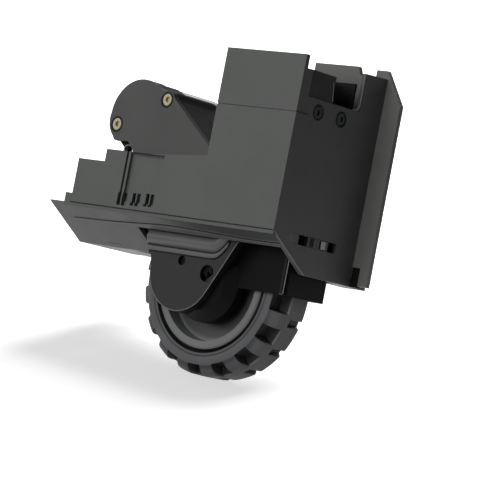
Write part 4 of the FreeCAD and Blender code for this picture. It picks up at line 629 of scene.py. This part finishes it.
def make_housing_trim():
    """Lines on the front wall and tower, the web in the cut-out, and what shows round the socket, with
    painted shadow and highlights.
    """
    # A dark bead paints the shadow under the gear cover's edge on the front wall.
    head = [(-21.0, -55.75, 35.7), (-12.0, -55.75, 35.7), (-5.0, -55.75, 35.7)]
    make_line("panel_head_shadow", head, 0.42, DARK, "housing")
    seam = [(SIDE_X, FRONT_Y, 58.4), (SIDE_X, -52.8, 58.4), (SIDE_X, -49.6, 58.4)]
    make_line("seam_side", seam, 0.2, DARK, "housing")
    make_plate("cut_out_web", (55.3, -6.6, 0.0), (59.88, -5.4, 7.58), DARK, 0.05)
    make_plate("socket_cheek", (54.0, -50.9, 65.3), (55.4, -36.1, 75.2), CHEEK, 0.15)
    # Light beads paint highlights on the socket's edge and the window's edge.
    socket = [(55.4, -37.4, 72.9), (55.4, -36.7, 70.0), (55.4, -36.0, 65.7)]
    make_line("socket_edge", socket, 0.2, EDGE, "housing")
    lip = [(55.8, -20.6, 79.2), (55.8, -20.3, 75.0), (55.8, -20.3, 69.0), (55.8, -20.5, 66.6),
           (55.8, -21.6, 65.5), (55.8, -24.0, 65.2)]
    make_line("window_edge_highlight", lip, 0.22, EDGE, "housing")


make_tyre()
make_spring()
make_flange_lines()
make_lobe_roll()
make_lobe_highlights()
make_screw_shadows()
make_housing_trim()

# The studio's floor stands at the wheel's lowest point and slopes as in the photograph.
FLOOR_NORMAL = Vector((0.0976, -0.3815, 0.9192)).normalized()
FLOOR_POINT = Vector((8.2 * MM, -22.0 * MM, -43.9 * MM))


def make_floor():
    """A wide plane, white to the camera, that keeps the object's shadow and is clear from below."""
    mesh = bpy.data.meshes.new("floor")
    build = bmesh.new()
    bmesh.ops.create_grid(build, x_segments=1, y_segments=1, size=4.0)
    build.to_mesh(mesh)
    build.free()
    floor = link(bpy.data.objects.new("floor", mesh))
    slope = FLOOR_NORMAL.to_track_quat("Z", "Y").to_matrix().to_4x4()
    floor.matrix_world = Matrix.Translation(FLOOR_POINT) @ slope
    material, tree, output = new_material("floor_white")
    diffuse = tree.nodes.new("ShaderNodeBsdfDiffuse")
    glow = tree.nodes.new("ShaderNodeEmission")
    path = tree.nodes.new("ShaderNodeLightPath")
    away = tree.nodes.new("ShaderNodeVectorMath")
    away.operation = "LENGTH"
    tree.links.new(tree.nodes.new("ShaderNodeTexCoord").outputs["Object"], away.inputs[0])
    # The floor's colour is 0.30 for the light that it sends back, and 0.88 to the camera.
    bounced, more_when_seen = 0.30, 0.58
    seen = maths(tree, "MULTIPLY", path.outputs["Is Camera Ray"], more_when_seen)
    tree.links.new(maths(tree, "ADD", seen, bounced), diffuse.inputs["Color"])
    # For reflections, the floor near the wheel glows and fades out by 0.36 m: a painted reflection of
    # bright floor.
    pool_edge = (0.10, 0.36)
    pool = ramp(tree, away.outputs["Value"], *pool_edge, at_low=1.0, at_high=0.05)
    mirrored = maths(tree, "MULTIPLY", path.outputs["Is Glossy Ray"], pool)
    shadow_edge = (0.11, 0.24)
    open_floor = ramp(tree, away.outputs["Value"], *shadow_edge, at_low=0.64, at_high=1.0)
    direct = maths(tree, "MULTIPLY", path.outputs["Is Camera Ray"], open_floor)
    tree.links.new(maths(tree, "MAXIMUM", mirrored, direct), glow.inputs["Strength"])
    both = tree.nodes.new("ShaderNodeAddShader")
    tree.links.new(diffuse.outputs[0], both.inputs[0])
    tree.links.new(glow.outputs[0], both.inputs[1])
    clear = tree.nodes.new("ShaderNodeBsdfTransparent")
    side = tree.nodes.new("ShaderNodeMixShader")
    geometry = tree.nodes.new("ShaderNodeNewGeometry")
    tree.links.new(geometry.outputs["Backfacing"], side.inputs["Fac"])
    tree.links.new(both.outputs[0], side.inputs[1])
    tree.links.new(clear.outputs[0], side.inputs[2])
    tree.links.new(side.outputs[0], output.inputs["Surface"])
    mesh.materials.append(material)
    return floor


def make_world():
    """White to the camera, with two bright panels on the left in reflections, and grey as light."""
    world = bpy.data.worlds.new("studio")
    world.use_nodes = True
    tree = world.node_tree
    tree.nodes.clear()
    output = tree.nodes.new("ShaderNodeOutputWorld")
    back = tree.nodes.new("ShaderNodeBackground")
    path = tree.nodes.new("ShaderNodeLightPath")
    seen = maths(tree, "MAXIMUM", path.outputs["Is Camera Ray"], path.outputs["Is Transmission Ray"])
    coords = tree.nodes.new("ShaderNodeTexCoord").outputs["Generated"]
    grey, round_panels = 0.09, 0.08
    panels = []
    for direction, low, high in (((-0.98, 0.0, -0.2), 0.15, 0.60), ((-0.77, 0.63, 0.1), 0.80, 0.92)):
        toward = along(tree, coords, direction)
        panels.append(ramp(tree, toward, low, high, at_low=round_panels, at_high=1.0))
    glossy = maths(tree, "MULTIPLY", path.outputs["Is Glossy Ray"], maths(tree, "MAXIMUM", *panels))
    level = maths(tree, "MAXIMUM", maths(tree, "MAXIMUM", seen, glossy), grey)
    tree.links.new(level, back.inputs["Strength"])
    back.inputs["Color"].default_value = (1.0, 1.0, 1.0, 1.0)
    tree.links.new(back.outputs[0], output.inputs["Surface"])
    bpy.context.scene.world = world


def add_light(name, where, aim, size, power):
    """A soft square lamp at a place, aimed at a point."""
    data = bpy.data.lights.new(name, "AREA")
    data.shape = "SQUARE"
    data.size = size
    data.energy = power
    lamp = link(bpy.data.objects.new(name, data))
    lamp.location = where
    lamp.rotation_euler = (Vector(aim) - Vector(where)).to_track_quat("-Z", "Y").to_euler()
    return lamp


# Four lamps light the object and leave the floor out, and the fifth lights the floor alone, so that
# its shadow falls as in the photograph.
MODULE = (0.0, -0.03, 0.02)
WHEEL_FOOT = (0.0, -0.03, -0.04)
LAMPS = (
    ("key", (0.04, -1.10, 0.22), MODULE, 0.70, 8.7, "EXCLUDE"),
    ("back", (-0.20, 0.95, 0.25), MODULE, 0.60, 6.0, "EXCLUDE"),
    ("left", (-0.95, -0.15, 0.30), MODULE, 0.60, 3.5, "EXCLUDE"),
    ("top", (-0.15, -0.10, 1.10), MODULE, 0.60, 4.0, "EXCLUDE"),
    ("shadow", (0.30, 0.07, 0.80), WHEEL_FOOT, 0.55, 9.5, "INCLUDE"),
)
FLOOR = make_floor()
make_world()
for name, where, aim, size, power, state in LAMPS:
    lamp = add_light(name, where, aim, size, power)
    group = bpy.data.collections.new(name + "_floor")
    group.objects.link(FLOOR)
    lamp.light_linking.receiver_collection = group
    group.collection_objects[0].light_linking.link_state = state


def make_camera():
    """The photograph's viewpoint, with the module turned a little anticlockwise in the picture."""
    data = bpy.data.cameras.new("camera")
    data.sensor_width = 36.0
    data.lens = 225.0
    data.clip_start = 0.01
    data.clip_end = 20.0
    camera = link(bpy.data.objects.new("camera", data))
    azimuth, elevation, roll = math.radians(41.53), math.radians(-3.05), math.radians(-10.88)
    place = Vector((777.445, -887.792, -50.947))
    back = Vector((math.sin(azimuth) * math.cos(elevation), -math.cos(azimuth) * math.cos(elevation),
                   math.sin(elevation)))
    right = (-back).cross(Vector((0.0, 0.0, 1.0))).normalized()
    down = (-back).cross(right)
    turned_right = right * math.cos(roll) + down * math.sin(roll)
    turned_down = down * math.cos(roll) - right * math.sin(roll)
    axes = Matrix((turned_right, -turned_down, back)).transposed().to_4x4()
    camera.matrix_world = Matrix.Translation(place * MM) @ axes
    bpy.context.scene.camera = camera


make_camera()
bpy.context.scene.view_settings.view_transform = "Standard"
